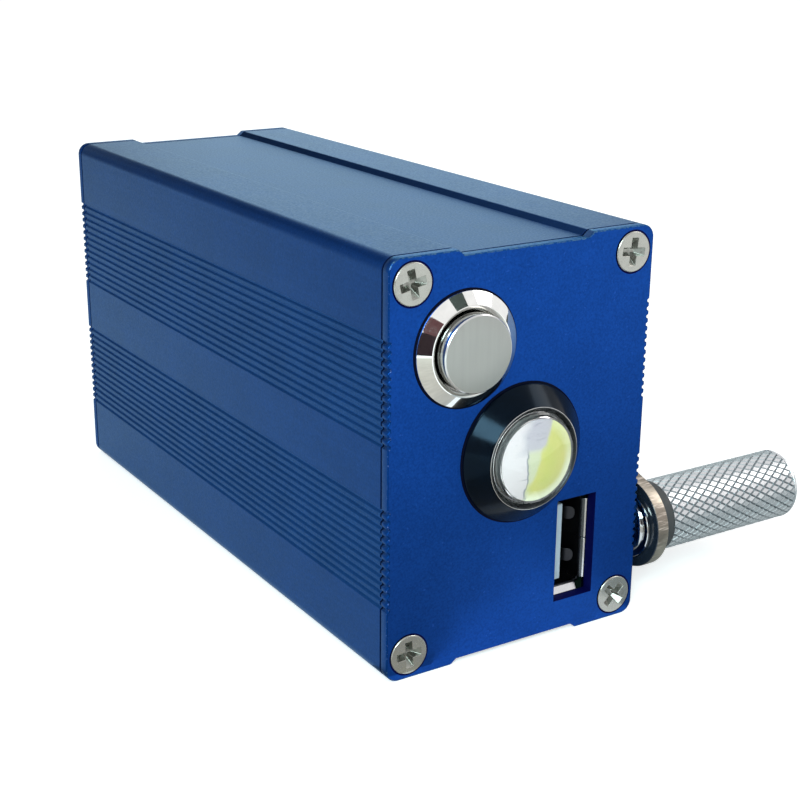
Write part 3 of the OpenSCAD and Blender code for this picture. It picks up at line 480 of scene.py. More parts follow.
def green_board():
    """Solder resist over copper tracks."""
    finish = Finish("board_green", (0.002, 0.009, 0.006), Roughness=0.45)
    checks = finish.add("TexBrick", Vector=finish.stretched((0.0, 0.18, 0.18)), Scale=1.0)
    tracks = finish.span(checks.outputs["Fac"], 0, 1, 0.4, 0.6)
    finish.paint(finish.mix(tracks, finish.shade(0.12, 0.2), (0.004, 0.022, 0.012)))
    finish.relief(tracks, 0.02)
    return finish.material


def wound_copper(name, per_mm):
    """Enamelled wire laid side by side."""
    finish = Finish(name, (0.62, 0.24, 0.08), Metallic=0.85, Roughness=0.35)
    turns = finish.add("TexWave", Vector=finish.stretched((per_mm, 0.05, 0.05)), Scale=1.0)
    turns.bands_direction = "X"
    finish.paint(finish.mix(turns.outputs["Fac"], (0.28, 0.09, 0.03), finish.shade(0.15, 0.5)))
    finish.relief(turns.outputs["Fac"], 0.08)
    return finish.material


def foam():
    """Open-celled foam."""
    finish = Finish("foam_strip", (0.035, 0.035, 0.04), Roughness=0.95)
    cells = finish.add("TexVoronoi", Vector=finish.stretched((2.2, 2.2, 2.2)), Scale=1.0)
    finish.paint(finish.mix(cells.outputs["Distance"], (0.01, 0.01, 0.012), (0.06, 0.06, 0.068)))
    finish.relief(cells.outputs["Distance"], 0.15)
    return finish.material


BLUE_TUBE = (0.003, 0.041, 0.200)
BLUE_PANEL = (0.0075, 0.062, 0.330)
SHEEN = (0.79, 0.97, 0.97)
DRAWN = {"along": (1.6, 0.012, 1.6), "grain": 0.011, "depth": 0.42}

tube_blue = anodised("tube_blue", BLUE_TUBE, (0.36, 0.46), SHEEN, **DRAWN)
# painted light: the ridges take a slightly lighter blue and the grooves a much lighter one, for
# the light that the grooved bands catch
ridge_blue_lit = anodised("ridge_blue_lit", (0.003, 0.05, 0.205), (0.38, 0.5), (0.83, 1, 1), **DRAWN)
groove_blue_lit = anodised("groove_blue_lit", (0.014, 0.078, 0.255), (0.5, 0.6), (0.9, 1, 1))
panel_blue = anodised("panel_blue", BLUE_PANEL, (0.36, 0.44), SHEEN, grain=0.009, depth=0.42)
# painted shade: the plates' own sides take the tube's darker blue, unlike their faces
panel_side_shaded = anodised("panel_side_shaded", BLUE_TUBE, (0.38, 0.5), SHEEN)
# painted shade: the sloped walls of the channels on the top and bottom take a darker blue
channel_side_shade = anodised("channel_side_shade", (0.006, 0.026, 0.105), (0.36, 0.46), (0.6, 0.75, 0.85))
panel_edge = worn_edge("panel_edge", (0.006, 0.05, 0.2), (0.055, 0.125, 0.22), (0.44, 0.6))
side_edge = worn_edge("side_edge", (0.003, 0.035, 0.17), (0.10, 0.17, 0.42), (0.58, 0.66))
# painted shade: the faces where plate and tube meet are near black, for the shade in the gap
joint_shade = moulded("panel_joint_shade", (0.002, 0.006, 0.03), (0.6, 0.8), Specular_IOR_Level=0.03)
# painted shade: the sinks of the screws and the socket's opening are near black
sink_shade = moulded("slot_wall_shade", (0.001, 0.002, 0.045), (0.5, 0.65), Specular_IOR_Level=0.04)
chrome = bright_metal("chrome_bezel", (0.86, 0.86, 0.84), (0.02, 0.06), 0.0002)
satin_face = brushed_metal(
    "satin_cap_face", (0.39, 0.40, 0.385), (1.4, 1, 0.06), (0.38, 0.44), 0.0003
)
cap_side = bright_metal("cap_side", (0.36, 0.36, 0.35), (0.1, 0.18), 0.0004)
# painted shadow: a near black ring round the foot of each bezel stands for its contact shadow
contact_shadow_black = moulded("contact_shadow_black", (0.001, 0.0015, 0.008), (0.6, 0.8), Specular_IOR_Level=0.04)
black_bezel = black_anodised()
bezel_seat = bright_metal("bezel_seat", (0.05, 0.055, 0.06), (0.25, 0.35), 0.001)
bare_rim = bright_metal("bare_rim", (0.6, 0.6, 0.6), (0.14, 0.22), 0.0005)
lens_glass = clear_glass()
nickel = bright_metal("nickel_screw", (0.41, 0.405, 0.375), (0.2, 0.32), 0.001)
polished_nickel = bright_metal("polished_nickel", (0.56, 0.57, 0.58), (0.05, 0.1), 0.0004)
# painted shade: the cross recess takes a darker copy of the head's metal
recess = bright_metal("screw_recess_shade", (0.31, 0.31, 0.285), (0.26, 0.38), 0.002, 2.0)
socket_plate = bright_metal("socket_plate", (0.66, 0.66, 0.68), (0.14, 0.24), 0.0005)
# painted reflection: the bend of the right lip is dark where it mirrors the shell's dark inside
socket_bend_reflection = bright_metal("socket_bend_reflection", (0.10, 0.11, 0.12), (0.2, 0.3), 0.001)
# painted shade: the inside of the shell and the deeper part of its lips are near black
socket_inside_shade = bright_metal("socket_inside_shade", (0.045, 0.047, 0.055), (0.3, 0.4), 0.001)
# painted shade: the spring leaves inside the socket are near black
spring_plate_shaded = bright_metal("spring_plate_shaded", (0.045, 0.045, 0.052), (0.35, 0.5), 0.001)
tongue_white = moulded("tongue_plastic", (0.40, 0.47, 0.54), (0.4, 0.55), 0.001)
gold = bright_metal("gold_contact", (0.83, 0.62, 0.28), (0.15, 0.25))
board = green_board()
chip = moulded("chip_black", (0.012, 0.012, 0.014), (0.5, 0.65))
coil_copper = wound_copper("coil_copper", 1.3)
winding_copper = wound_copper("winding_copper", 0.9)
sleeve = moulded("cell_sleeve", (0.03, 0.16, 0.10), (0.2, 0.32), 0.02, Coat_Weight=0.4)
foam_strip = foam()
black_plastic = moulded("black_plastic", (0.012, 0.013, 0.015))
cup_side = moulded("cup_side", (0.07, 0.07, 0.072), (0.3, 0.45), 0.002)
white_cup = moulded("white_cup", (0.82, 0.83, 0.84), (0.3, 0.45), 0.002)
plate_steel = brushed_metal("plate_steel", (0.55, 0.55, 0.54), (0.5, 0.04, 3.0))
ground_steel = bright_metal("ground_steel", (0.6, 0.6, 0.6), (0.16, 0.28), 0.001)
brass = bright_metal("gear_brass", (0.76, 0.55, 0.24), (0.22, 0.36), 0.002)
magnet_grey = moulded("magnet_grey", (0.10, 0.10, 0.11), (0.4, 0.55), 0.004, Metallic=0.6)
can_steel = brushed_metal("can_steel", (0.50, 0.51, 0.52), (2.0, 0.2, 0.2))
arm_black = moulded("arm_black", (0.012, 0.018, 0.028), (0.12, 0.18), 0.0006, Coat_Weight=0.4)
spacer_dark = moulded("spacer_dark", (0.030, 0.032, 0.034), (0.45, 0.6), 0.01)
grip_metal = bright_metal("grip_metal", (0.64, 0.65, 0.67), (0.2, 0.32), 0.002, 1.2)
# painted shade: the knurl's grooves take a darker copy of the grip's metal
groove_metal_shaded = bright_metal("grip_grooves_shaded", (0.40, 0.43, 0.45), (0.3, 0.45), 0.004, 1.2)


def bare_arm_edge():
    """The sheared edge of the arm: bare metal with marks across it, duller in places."""
    finish = Finish("arm_rim", (0.42, 0.37, 0.31), Metallic=1.0)
    marks = finish.noise((0.3, 3.2, 3.2), 3, 0.6)
    patches = finish.span(finish.noise(0.16, 2), 0, 1, 0.4, 0.6)
    dull = finish.mix(patches, (0.25, 0.215, 0.18), (0.46, 0.41, 0.34))
    bright = finish.span(marks, 0, 0.9, 0.52, 0.72)
    finish.paint(finish.mix(bright, dull, (0.80, 0.70, 0.62)))
    finish.polish(finish.span(marks, 0.26, 0.5))
    finish.relief(marks, 0.012)
    return finish.material


arm_rim = bare_arm_edge()


def dress(piece, *materials):
    piece.data.materials.clear()
    for material in materials:
        piece.data.materials.append(material)
    return piece


def recolour(piece, material, test):
    """Gives the faces that pass the test another of the piece's materials."""
    index = piece.data.materials.find(material.name)
    for face in piece.data.polygons:
        if test(face.center / MM, face.normal):
            face.material_index = index


# ---------------------------------------------------------------- case and panels
front_y = low("front_panel")[1]
joint_y = high("front_panel")[1]
rear_y = high("rear_panel")[1]
half_w = high("front_panel")[0]
case_h = high("front_panel")[2]

INSET = 3.4
SINK_R = 3.15
SUNK = 0.2
PROUD = 0.15
SKIN = 0.6
TOP_SKIN = 1.9
SAME_LEVEL = 0.01
screw_x = half_w - INSET


def outer(at):
    """On the case's outside, and not in a screw's sink."""
    level = min(abs(at.z - INSET), abs(at.z - case_h + INSET))
    sunk = Vector((abs(at.x) - screw_x, level)).length < SINK_R
    return not sunk and (
        abs(at.x) > half_w - SKIN or at.z < SKIN or at.z > case_h - TOP_SKIN
    )


def bevel_rim(piece, level, width, segments):
    """Breaks the outer edge of the piece at one place along the case."""
    open_mesh(piece, mode="EDGE")
    choose_edges(
        piece,
        lambda one, other: max(abs(one.y - level), abs(other.y - level)) < SAME_LEVEL
        and outer(one) and outer(other)
    )
    bpy.ops.mesh.bevel(offset=width * MM, segments=segments, affect="EDGES", loop_slide=False)
    close_mesh()


GROUP_OFFSET = 11
GROUP_HALF = 6.9
GROOVE_REACH = 0.32
RIDGE_SKIN = 0.04


def in_group(at):
    """On the ridges or in the grooves of one of the two groups."""
    level = abs(abs(at.z - case_h / 2) - GROUP_OFFSET)
    return level < GROUP_HALF and abs(at.x) > half_w - GROOVE_REACH


def on_ridge(at):
    return abs(at.x) > half_w - RIDGE_SKIN


tube = from_solid("case_tube", "grooved_tube")
dress(tube, tube_blue, channel_side_shade, joint_shade, ridge_blue_lit, groove_blue_lit)
open_mesh(tube, mode="EDGE")
choose_edges(
    tube,
    lambda one, other: abs(one.y - other.y) > 10 and max(abs(one.x), abs(other.x)) < half_w - 3
    and (min(one.z, other.z) > case_h - 0.05 or max(one.z, other.z) < 0.05)
)
bpy.ops.mesh.bevel(offset=0.16 * MM, segments=2, affect="EDGES")
close_mesh()
bevel_rim(tube, joint_y, 0.1, 1)
soften(tube, 0.08, 1, 30)
# painted shade on the channels' sloped walls
recolour(
    tube, channel_side_shade,
    lambda at, normal: abs(at.x) < 12 and min(at.z, case_h - at.z) < 0.68
    and 0.35 < abs(normal.x) < 0.8 and abs(normal.y) < 0.1
)
# painted light on the grooved bands: lighter blues on the ridges and in the grooves
recolour(tube, ridge_blue_lit, lambda at, normal: in_group(at) and on_ridge(at))
recolour(tube, groove_blue_lit, lambda at, normal: in_group(at) and not on_ridge(at))
# painted shade at the tube's end, where it meets the plate
recolour(tube, joint_shade, lambda at, normal: outer(at) and at.y < joint_y + 0.1)
stands_for(tube, "case_blue", "case_tube")


def plate(node, name, outside):
    """An end plate: its sides take the tube's darker blue as painted shade, its outer edge is
    rubbed bare in places, and its screws' sinks, the socket's opening and its joint with the
    tube are near black as painted shade."""
    piece = from_solid(node, name)
    dress(piece, panel_blue, panel_side_shaded, panel_edge, joint_shade, sink_shade, side_edge)
    inside, face = (joint_y, front_y) if outside < 0 else (low(node)[1], rear_y)
    bevel_rim(piece, inside, 0.28, 1)
    bevel_rim(piece, face, 0.16, 2)
    soften(piece, 0.04, 1, 60)

    def on_edge(at, normal):
        return outer(at) and 0.3 <= normal.y * outside < 0.97

    # painted shade on every face that does not face outwards
    recolour(piece, sink_shade, lambda at, normal: normal.y * outside < 0.93)
    # painted shade: the plate's sides darker than its face
    recolour(piece, panel_side_shaded, lambda at, normal: outer(at) and abs(normal.y) < 0.3)
    if outside < 0:
        recolour(
            piece, panel_edge,
            lambda at, normal: at.z > case_h - 1.2 and abs(normal.y) < 0.3 and normal.z > 0.9
        )
    recolour(piece, panel_edge, on_edge)
    recolour(
        piece, side_edge,
        lambda at, normal: on_edge(at, normal) and abs(at.x) > half_w - 0.8
        and 2 < at.z < case_h - 1.2
    )
    # painted shade on the plate's faces towards the tube
    recolour(piece, joint_shade, lambda at, normal: outer(at) and normal.y * outside < -0.3)
    stands_for(piece, "panel_blue", node)


plate("front_panel", "front_plate", -1)
plate("rear_panel", "rear_plate", 1)

# ---------------------------------------------------------------- screws
CROSS_HALF = 0.6
CROSS_TOP = 0.2
CROSS_TAPER = 0.42
POINT_HALF = 0.84
POINT_SHARE = 0.8
POINT_TAPER = 0.3


def cross_cutter(reach, depth):
    """The point of a cross driver: four arms that narrow towards the bottom, and between
    them a four-sided point that opens up the middle."""
    point_depth = depth * POINT_SHARE
    cutter = block(
        "cutter", (-CROSS_HALF, -CROSS_HALF, -depth), (CROSS_HALF, CROSS_HALF, CROSS_TOP)
    )
    open_mesh(cutter)
    for side in (Vector((1, 0, 0)), Vector((-1, 0, 0)), Vector((0, 1, 0)), Vector((0, -1, 0))):
        choose_faces(
            cutter,
            lambda at, normal: normal.dot(side) > 0.9 and abs(at.x * side.y + at.y * side.x) < 0.1
        )
        grow(side * (reach - CROSS_HALF))
    choose_faces(cutter, lambda at, normal: normal.z < -0.9)
    scale_about((CROSS_TAPER, CROSS_TAPER, 1), (0, 0, -depth))
    close_mesh()
    point = block(
        "point", (-POINT_HALF, -POINT_HALF, -point_depth), (POINT_HALF, POINT_HALF, CROSS_TOP)
    )
    open_mesh(point)
    choose_faces(point, lambda at, normal: normal.z < -0.9)
    scale_about((POINT_TAPER, POINT_TAPER, 1), (0, 0, -point_depth))
    close_mesh()
    point.data.transform(Matrix.Rotation(math.radians(45), 4, "Z"))
    whole = cutter.modifiers.new("point", "BOOLEAN")
    whole.operation = "UNION"
    whole.object = point
    apply_modifier(cutter, whole)
    bpy.data.objects.remove(point)
    return cutter


def phillips(name, rings, reach, depth):
    """A screw with its cross recess cut down from height 0 of the head."""
    screw = turned(name, rings, 48)
    cut(screw, cross_cutter(reach, depth))
    clean(screw)
    dress(screw, nickel, recess)
    top = reach * 1.05
    # painted shade in the cross recess
    recolour(
        screw, recess,
        lambda at, normal: -depth - 0.1 < at.z < -0.03 and at.xy.length < top
        and (normal.z > 0.5 or at.xy.dot(normal.xy) < 0.3)
    )
    soften(screw, 0.05, 2, 28)
    return screw


panel_screw = phillips(
    "panel_screw",
    [(1.35, -8), (1.5, -7.7), (1.5, -1.3), (2.62, -0.26), (2.75, -0.15), (2.62, 0)],
    2.05, 1.15
)


def panel_screws(name, y, turns, facing, node):
    """A screw in each corner of a panel, each with its own turn."""
    corners = [(side * screw_x, y, z) for z in (INSET, case_h - INSET) for side in (-1, 1)]
    screws = [
        settle(copied(panel_screw, name), at, facing, turn) for at, turn in zip(corners, turns)
    ]
    stands_for(joined(name, screws), "screw_steel", node)


panel_screws("front_panel_screws", front_y - PROUD, (4, 45, 12, -6), "front", "front_screws")
panel_screws("rear_panel_screws", rear_y - SUNK, (20, 70, 38, 5), "back", "rear_screws")
bpy.data.objects.remove(panel_screw)

# ---------------------------------------------------------------- push button
def with_contact_shadow(bezel, rings):
    """Adds a near black ring round the foot of a bezel, a painted contact shadow on the panel."""
    contact_shadow_ring = turned("contact_shadow_ring", rings, 96, "bridged")
    smooth(contact_shadow_ring)
    dress(contact_shadow_ring, contact_shadow_black)
    return joined(bezel.name, [bezel, contact_shadow_ring])


button = middle("button_cap")
bezel_r = high("button_bezel")[0] - button[0]
bezel = turned(
    "button_bezel_ring",
    [
        (5.60, -2.0), (5.26, -2.0), (5.26, 1.02), (5.34, 1.14), (5.68, 1.36), (5.78, 1.40),
        (5.92, 1.38), (7.30, 0.46), (bezel_r - 0.03, 0.34), (bezel_r, 0.24), (bezel_r, 0.0),
        (5.99, 0.0), (5.99, -13.8), (5.85, -14.0), (5.60, -14.0)
    ],
    128, "bridged"
)
smooth(bezel, 24)
dress(bezel, chrome)
bezel = with_contact_shadow(
    bezel, [(7.0, 0), (bezel_r + 0.26, 0), (bezel_r + 0.24, 0.05), (bezel_r, 0.2), (7.0, 0.2)]
)
settle(bezel, (button[0], front_y, button[2]), "front")
stands_for(bezel, "bright_chrome", "button_bezel")

cap = turned(
    "button_cap_turned",
    [
        (5.48, -3.2), (5.50, -3.1), (5.50, -2.0), (5.03, -2.0), (5.05, -1.9), (5.05, 2.70),
        (5.04, 2.76), (4.92, 2.88), (4.86, 2.9), (2.0, 2.9)
    ],
    128
)
smooth(cap, 24)
settle(cap, (button[0], front_y, button[2]), "front")
dress(cap, cap_side, satin_face, bare_rim)
recolour(cap, satin_face, lambda at, normal: normal.y < -0.98 and at.y < front_y)
recolour(cap, bare_rim, lambda at, normal: -0.98 < normal.y < -0.2 and at.y < front_y - 2.7)
stands_for(cap, "brushed_cap", "button_cap")

WIRE = 0.3
COIL_TURNS = 5
spring_low = low("button_spring")
spring_high = high("button_spring")
coil_r = (spring_high[0] - spring_low[0]) / 2 - WIRE
spring_len = spring_high[1] - spring_low[1]
coil_rise = spring_len - 2 * WIRE
bpy.ops.object.select_all(action="DESELECT")
bpy.ops.mesh.primitive_circle_add(
    vertices=10, radius=WIRE * MM, location=(coil_r * MM, 0, 0),
    rotation=(math.radians(90), 0, 0), fill_type="NGON"
)
coil = started("button_spring_wound")
wind = coil.modifiers.new("wind", "SCREW")
wind.angle = math.radians(360 * COIL_TURNS)
wind.screw_offset = coil_rise * MM
wind.steps = wind.render_steps = 36 * COIL_TURNS
wind.axis = "Z"
wind.use_merge_vertices = False
apply_modifier(coil, wind)
open_mesh(coil, mode="EDGE")
bpy.ops.mesh.select_non_manifold()
bpy.ops.mesh.fill_holes(sides=0)
close_mesh()
clean(coil)
smooth(coil, 50)
settle(coil, (button[0], spring_low[1] + WIRE, button[2]), "back")
stands_for(dress(coil, ground_steel), "ground_steel", "button_spring")
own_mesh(coil)

# ---------------------------------------------------------------- lamp
lamp = middle("lamp_bezel")
lamp_at = (lamp[0], front_y, lamp[2])
hood = turned(
    "lamp_bezel_turned",
    [
        (5.74, 0.2), (5.74, 2.20), (5.80, 2.26), (6.30, 2.28), (6.36, 2.34), (6.66, 2.74),
        (6.76, 2.80), (6.87, 2.80), (6.93, 2.78), (6.98, 2.74), (7.10, 2.62), (9.24, 0.50),
        (9.36, 0.36), (9.40, 0.24), (9.40, 0.0), (7.89, 0.0), (7.89, -14.8), (7.7, -14.9),
        (5.74, -14.9)
    ],
    128, "bridged"
)
smooth(hood, 28)
dress(hood, black_bezel, bezel_seat, bare_rim)
recolour(hood, bezel_seat, lambda at, normal: at.z > 2.2 and at.xy.length < 6.86)
recolour(hood, bare_rim, lambda at, normal: at.z > 2.74 and 6.87 < at.xy.length < 6.94)
hood = with_contact_shadow(hood, [(8.6, 0), (9.66, 0), (9.64, 0.05), (9.4, 0.18), (8.6, 0.18)])
settle(hood, lamp_at, "front")
stands_for(hood, "black_metal", "lamp_bezel")


def dome(foot, foot_r, top, steps):
    """Rings up a round dome from its foot to its top."""
    rise = top - foot
    ball = (foot_r ** 2 + rise ** 2) / (2 * rise)
    rings = []
    for step in range(steps + 1):
        radius = foot_r * (1 - step / (steps + 0.4))
        rings.append((radius, top - ball + math.sqrt(ball ** 2 - radius ** 2)))
    return rings


lens_back = dome(3.24, 5.62, 4.02, 8)[::-1]
lens_rim = [(5.66, 2.5), (6.24, 2.34), (6.26, 2.5), (6.05, 2.66), (5.88, 2.8)]
lens = turned("lamp_lens_moulded", lens_back + lens_rim + dome(3.4, 5.82, 4.28, 14), 96)
smooth(lens, 40)
settle(lens, lamp_at, "front")
stands_for(dress(lens, lens_glass), "clear_lens", "lamp_lens")

cup_wall = [(5.52, -3.5), (5.56, -3.4), (5.56, 2.9)]
cup = turned("lamp_cup_and_gel", cup_wall + dome(3.18, 5.52, 3.96, 14), 96)
smooth(cup, 40)
settle(cup, lamp_at, "front")
dress(cup, lamp_gel(lamp), cup_side)
recolour(cup, cup_side, lambda at, normal: abs(normal.y) < 0.3)
stands_for(cup, "phosphor", "lamp_reflector")

# ---------------------------------------------------------------- charging socket
SHEET = 0.3
MOUTH_X = 2.56
MOUTH_Z = 6.25
SIDE_LIP_HALF = 5.93
END_LIP_HALF = 1.95
LIP_ROOT = (-0.02, 0.25)
BEND = ((0.03, 0.16), (0.07, 0.16), (0.12, 0.16), (0.17, 0.14), (0.20, 0.12))
WIDE_BEND = ((0.08, 0.16), (0.16, 0.16), (0.26, 0.16), (0.32, 0.14), (0.30, 0.12))
LEAF_SLOPE = 55
socket = Vector((9.69, low("socket_shell")[1] + 0.8, 12.32))
lip_front = socket.y + 0.3
shell = from_solid("socket_shell", "socket_shell_pressed")
cut(shell, block("front_cut", socket - Vector((6, 5, 10)), socket + Vector((6, 0, 10))))


def flared_lip(start, end, outwards, steps):
    """A lip of the shell: sheet that bends outwards as it comes forward."""
    lip = block("lip", start, end)
    open_mesh(lip)
    for out, forward in steps:
        choose_faces(lip, lambda at, normal: normal.y < -0.85 and at.y < lip_front)
        grow(outwards * out + Vector((0, -forward, 0)))
    close_mesh()
    return lip


seam_low = socket + Vector((1.6, -2, 0.03))
seam_high = socket + Vector((6, 3, 0.16))
pressed = [shell]
for side in (1, -1):
    near, far = sorted((MOUTH_X * side, (MOUTH_X + SHEET) * side))
    pressed.append(
        flared_lip(
            socket + Vector((near, LIP_ROOT[0], -SIDE_LIP_HALF)),
            socket + Vector((far, LIP_ROOT[1], SIDE_LIP_HALF)), Vector((side, 0, 0)), BEND
        )
    )
for part in pressed[:2]:
    cut(part, block("seam", seam_low, seam_high))
for side in (1, -1):
    near, far = sorted((MOUTH_Z * side, (MOUTH_Z + SHEET) * side))
    pressed.append(
        flared_lip(
            socket + Vector((-END_LIP_HALF, LIP_ROOT[0], near)),
            socket + Vector((END_LIP_HALF, LIP_ROOT[1], far)), Vector((0, 0, side)), WIDE_BEND
        )
    )
for part in pressed:
    clean(part)
    dress(part, socket_plate, socket_inside_shade, socket_bend_reflection)
    soften(part, 0.06, 2, 30)
# painted shade inside the shell
recolour(
    shell, socket_inside_shade,
    lambda at, normal: (at - socket).x * normal.x + (at - socket).z * normal.z < 0
)
for part in pressed[1:]:
    recolour(part, socket_inside_shade, lambda at, normal: at.y > socket.y - 0.40)
# painted reflection on the right lip's bend
recolour(pressed[1], socket_bend_reflection, lambda at, normal: -0.64 < at.y - socket.y < -0.40)
recolour(pressed[2], socket_plate, lambda at, normal: True)


def spring_leaf(level):
    """A leaf with a round end, cut from the shell's wall, that bulges inwards to grip
    the plug."""
    leaf = block(
        "leaf", socket + Vector((MOUTH_X - 0.25, 0.9, level - 0.95)),
        socket + Vector((MOUTH_X - 0.02, 1.9, level + 0.95))
    )
    open_mesh(leaf, mode="EDGE")
    choose_edges(
        leaf,
        lambda one, other: max(one.y, other.y) < socket.y + 1.0 and abs(one.z - other.z) < 0.1
    )
    bpy.ops.mesh.bevel(offset=0.8 * MM, segments=6, affect="EDGES")
    bpy.ops.mesh.select_all(action="SELECT")
    bpy.ops.transform.rotate(
        value=math.radians(-LEAF_SLOPE), orient_axis="Z",
        center_override=(socket + Vector((MOUTH_X - 0.1, 0.9, level))) * MM
    )
    bpy.ops.mesh.select_mode(type="FACE")
    for inwards, backwards in ((0.3, 0.4), (0.15, 0.8), (-0.2, 1.6), (-1.0, 3.5)):
        choose_faces(leaf, lambda at, normal: normal.y > 0.4 and normal.x < -0.3)
        grow((-inwards, backwards, 0))
        scale_about((1, 1, 0.93), socket + Vector((0, 0, level)))
    close_mesh()
    clean(leaf)
    # painted shade on the leaf inside the socket
    dress(leaf, spring_plate_shaded)
    soften(leaf, 0.1, 2, 40)
    return leaf


shell = joined("socket_shell_pressed", pressed + [spring_leaf(3.4), spring_leaf(-2.95)])
stands_for(shell, "socket_metal", "socket_shell")

tongue = from_solid("socket_tongue", "socket_tongue_moulded")
dress(tongue, tongue_white)
soften(tongue, 0.12, 2, 30)
stands_for(tongue, "white_plastic", "socket_tongue")

# ---------------------------------------------------------------- crank
crank_at = middle("arm_washer")
knob_at = middle("handle_washer")


def turned_ring(name, rings, steps, axis, finish, slot, node):
    """A ring with a bore, round the crank's or the handle's axis, in its node's place."""
    piece = turned(name, rings, steps, "bridged")
    smooth(piece)
    settle(piece, (low(node)[0], axis[1], axis[2]), "right")
    stands_for(dress(piece, finish), slot, node)


arm = from_solid("crank_arm", "crank_arm_flat")
dress(arm, arm_black, arm_rim)
recolour(arm, arm_rim, lambda at, normal: abs(normal.x) < 0.5)
soften(arm, 0.18, 3, 40)
stands_for(arm, "arm_black", "crank_arm")

turned_ring(
    "arm_washer_turned",
    [(1.7, 0), (4.85, 0), (5.0, 0.12), (5.0, 0.68), (4.88, 0.8), (1.7, 0.8)],
    72, crank_at, nickel, "screw_steel", "arm_washer"
)

head_x = high("arm_screw")[0]
arm_bolt = phillips(
    "arm_bolt",
    [
        (1.3, -11.8), (1.5, -11.6), (1.5, -1.8), (3.0, -1.8), (3.2, -1.65), (3.18, -0.9),
        (2.9, -0.35), (2.3, -0.08), (1.9, 0)
    ],
    1.7, 1.2
)
settle(arm_bolt, (head_x, crank_at[1], crank_at[2]), "right", 25)
stands_for(arm_bolt, "screw_steel", "arm_screw")

bolt_x = low("handle_screw")[0]
bolt_len = high("handle_screw")[0] - bolt_x
head_deep = low("handle_washer")[0] - bolt_x
handle_bolt = turned(
    "handle_bolt",
    [
        (1.7, -bolt_len), (1.95, -bolt_len + 0.3), (1.95, -head_deep), (4.08, -head_deep),
        (4.15, -head_deep + 0.06), (4.15, -0.84), (4.09, -0.74), (3.7, -0.46), (3.1, -0.22),
        (2.3, -0.05), (1.6, 0)
    ],
    96
)
smooth(handle_bolt, 30)
settle(handle_bolt, (bolt_x, knob_at[1], knob_at[2]), "left")
stands_for(dress(handle_bolt, polished_nickel), "screw_steel", "handle_screw")

# ---------------------------------------------------------------- knurled handle
KNURL_ROUND = 27
KNURL_ALONG = 14
KNURL_ROOT = 4.95
KNURL_START = -1.0
KNURL_PITCH = 2.0
DIAMOND_GAP = 0.14
DIAMOND_RISE = 0.24
PLAIN_END = 0.98


def knurl(end):
    """Diamonds on a tube about Z: each quad is poked, its old edges go, and what is left
    between the pokes is drawn out as a flat-topped diamond. Both ends are cut square."""
    piece = ring("knurl", KNURL_ROOT, KNURL_START, KNURL_ROUND)
    open_mesh(piece, "SELECT", "EDGE")
    for step in range(KNURL_ALONG):
        grow((0, 0, KNURL_PITCH))
    corners = KNURL_ROUND * (KNURL_ALONG + 1)
    bpy.ops.mesh.select_all(action="SELECT")
    bpy.ops.mesh.normals_make_consistent(inside=False)
    bpy.ops.mesh.select_mode(type="FACE")
    bpy.ops.mesh.select_all(action="SELECT")
    bpy.ops.mesh.poke()
    bpy.ops.mesh.select_mode(type="EDGE")
    mesh = bmesh.from_edit_mesh(piece.data)
    mesh.verts.index_update()
    for edge in mesh.edges:
        old = all(vert.index < corners for vert in edge.verts)
        edge.select_set(old and not edge.is_boundary)
    bmesh.update_edit_mesh(piece.data)
    bpy.ops.mesh.dissolve_edges(use_verts=False)
    bpy.ops.mesh.select_mode(type="FACE")
    mesh = bmesh.from_edit_mesh(piece.data)
    for face in mesh.faces:
        face.select_set(len(face.verts) == 4)
        face.material_index = 1
    bmesh.update_edit_mesh(piece.data)
    bpy.ops.mesh.inset(
        thickness=DIAMOND_GAP * MM, depth=DIAMOND_RISE * MM, use_individual=True
    )
    for face in bmesh.from_edit_mesh(piece.data).faces:
        if face.select:
            face.material_index = 0
    for height, side in ((0.02, -1), (end, 1)):
        bpy.ops.mesh.select_all(action="SELECT")
        bpy.ops.mesh.bisect(
            plane_co=(0, 0, height * MM), plane_no=(0, 0, side), use_fill=True, clear_outer=True
        )
    close_mesh()
    return piece


grip_x0 = low("handle_grip")[0]
grip_len = high("handle_grip")[0] - grip_x0
pattern = knurl(grip_len - PLAIN_END)
pattern.data.materials.append(grip_metal)
# painted shade in the knurl's grooves
pattern.data.materials.append(groove_metal_shaded)
core = turned(
    "core",
    [
        (4.6, 0), (4.9, 0.04), (4.9, grip_len - PLAIN_END), (5.12, grip_len - 0.94),
        (5.2, grip_len - 0.84), (5.2, grip_len - 0.66), (5.12, grip_len - 0.5),
        (4.72, grip_len - 0.06), (4.6, grip_len), (4.0, grip_len)
    ],
    96
)
smooth(core, 24)
dress(core, grip_metal)
grip = joined("handle_grip_knurled", [core, pattern])
settle(grip, (grip_x0, knob_at[1], knob_at[2]), "right")
stands_for(grip, "grip_metal", "handle_grip")

turned_ring(
    "handle_spacer_turned",
    [(2.05, 0), (4.95, 0), (5.12, 0.14), (5.14, 2.26), (5.02, 2.4), (2.05, 2.4)],
    96, knob_at, spacer_dark, "black_plastic", "handle_spacer"
)
turned_ring(
    "handle_washer_turned",
    [(2.55, 0), (4.96, 0), (5.08, 0.08), (5.1, 0.25), (5.08, 0.42), (4.96, 0.5), (2.55, 0.5)],
    96, knob_at, polished_nickel, "screw_steel", "handle_washer"
)

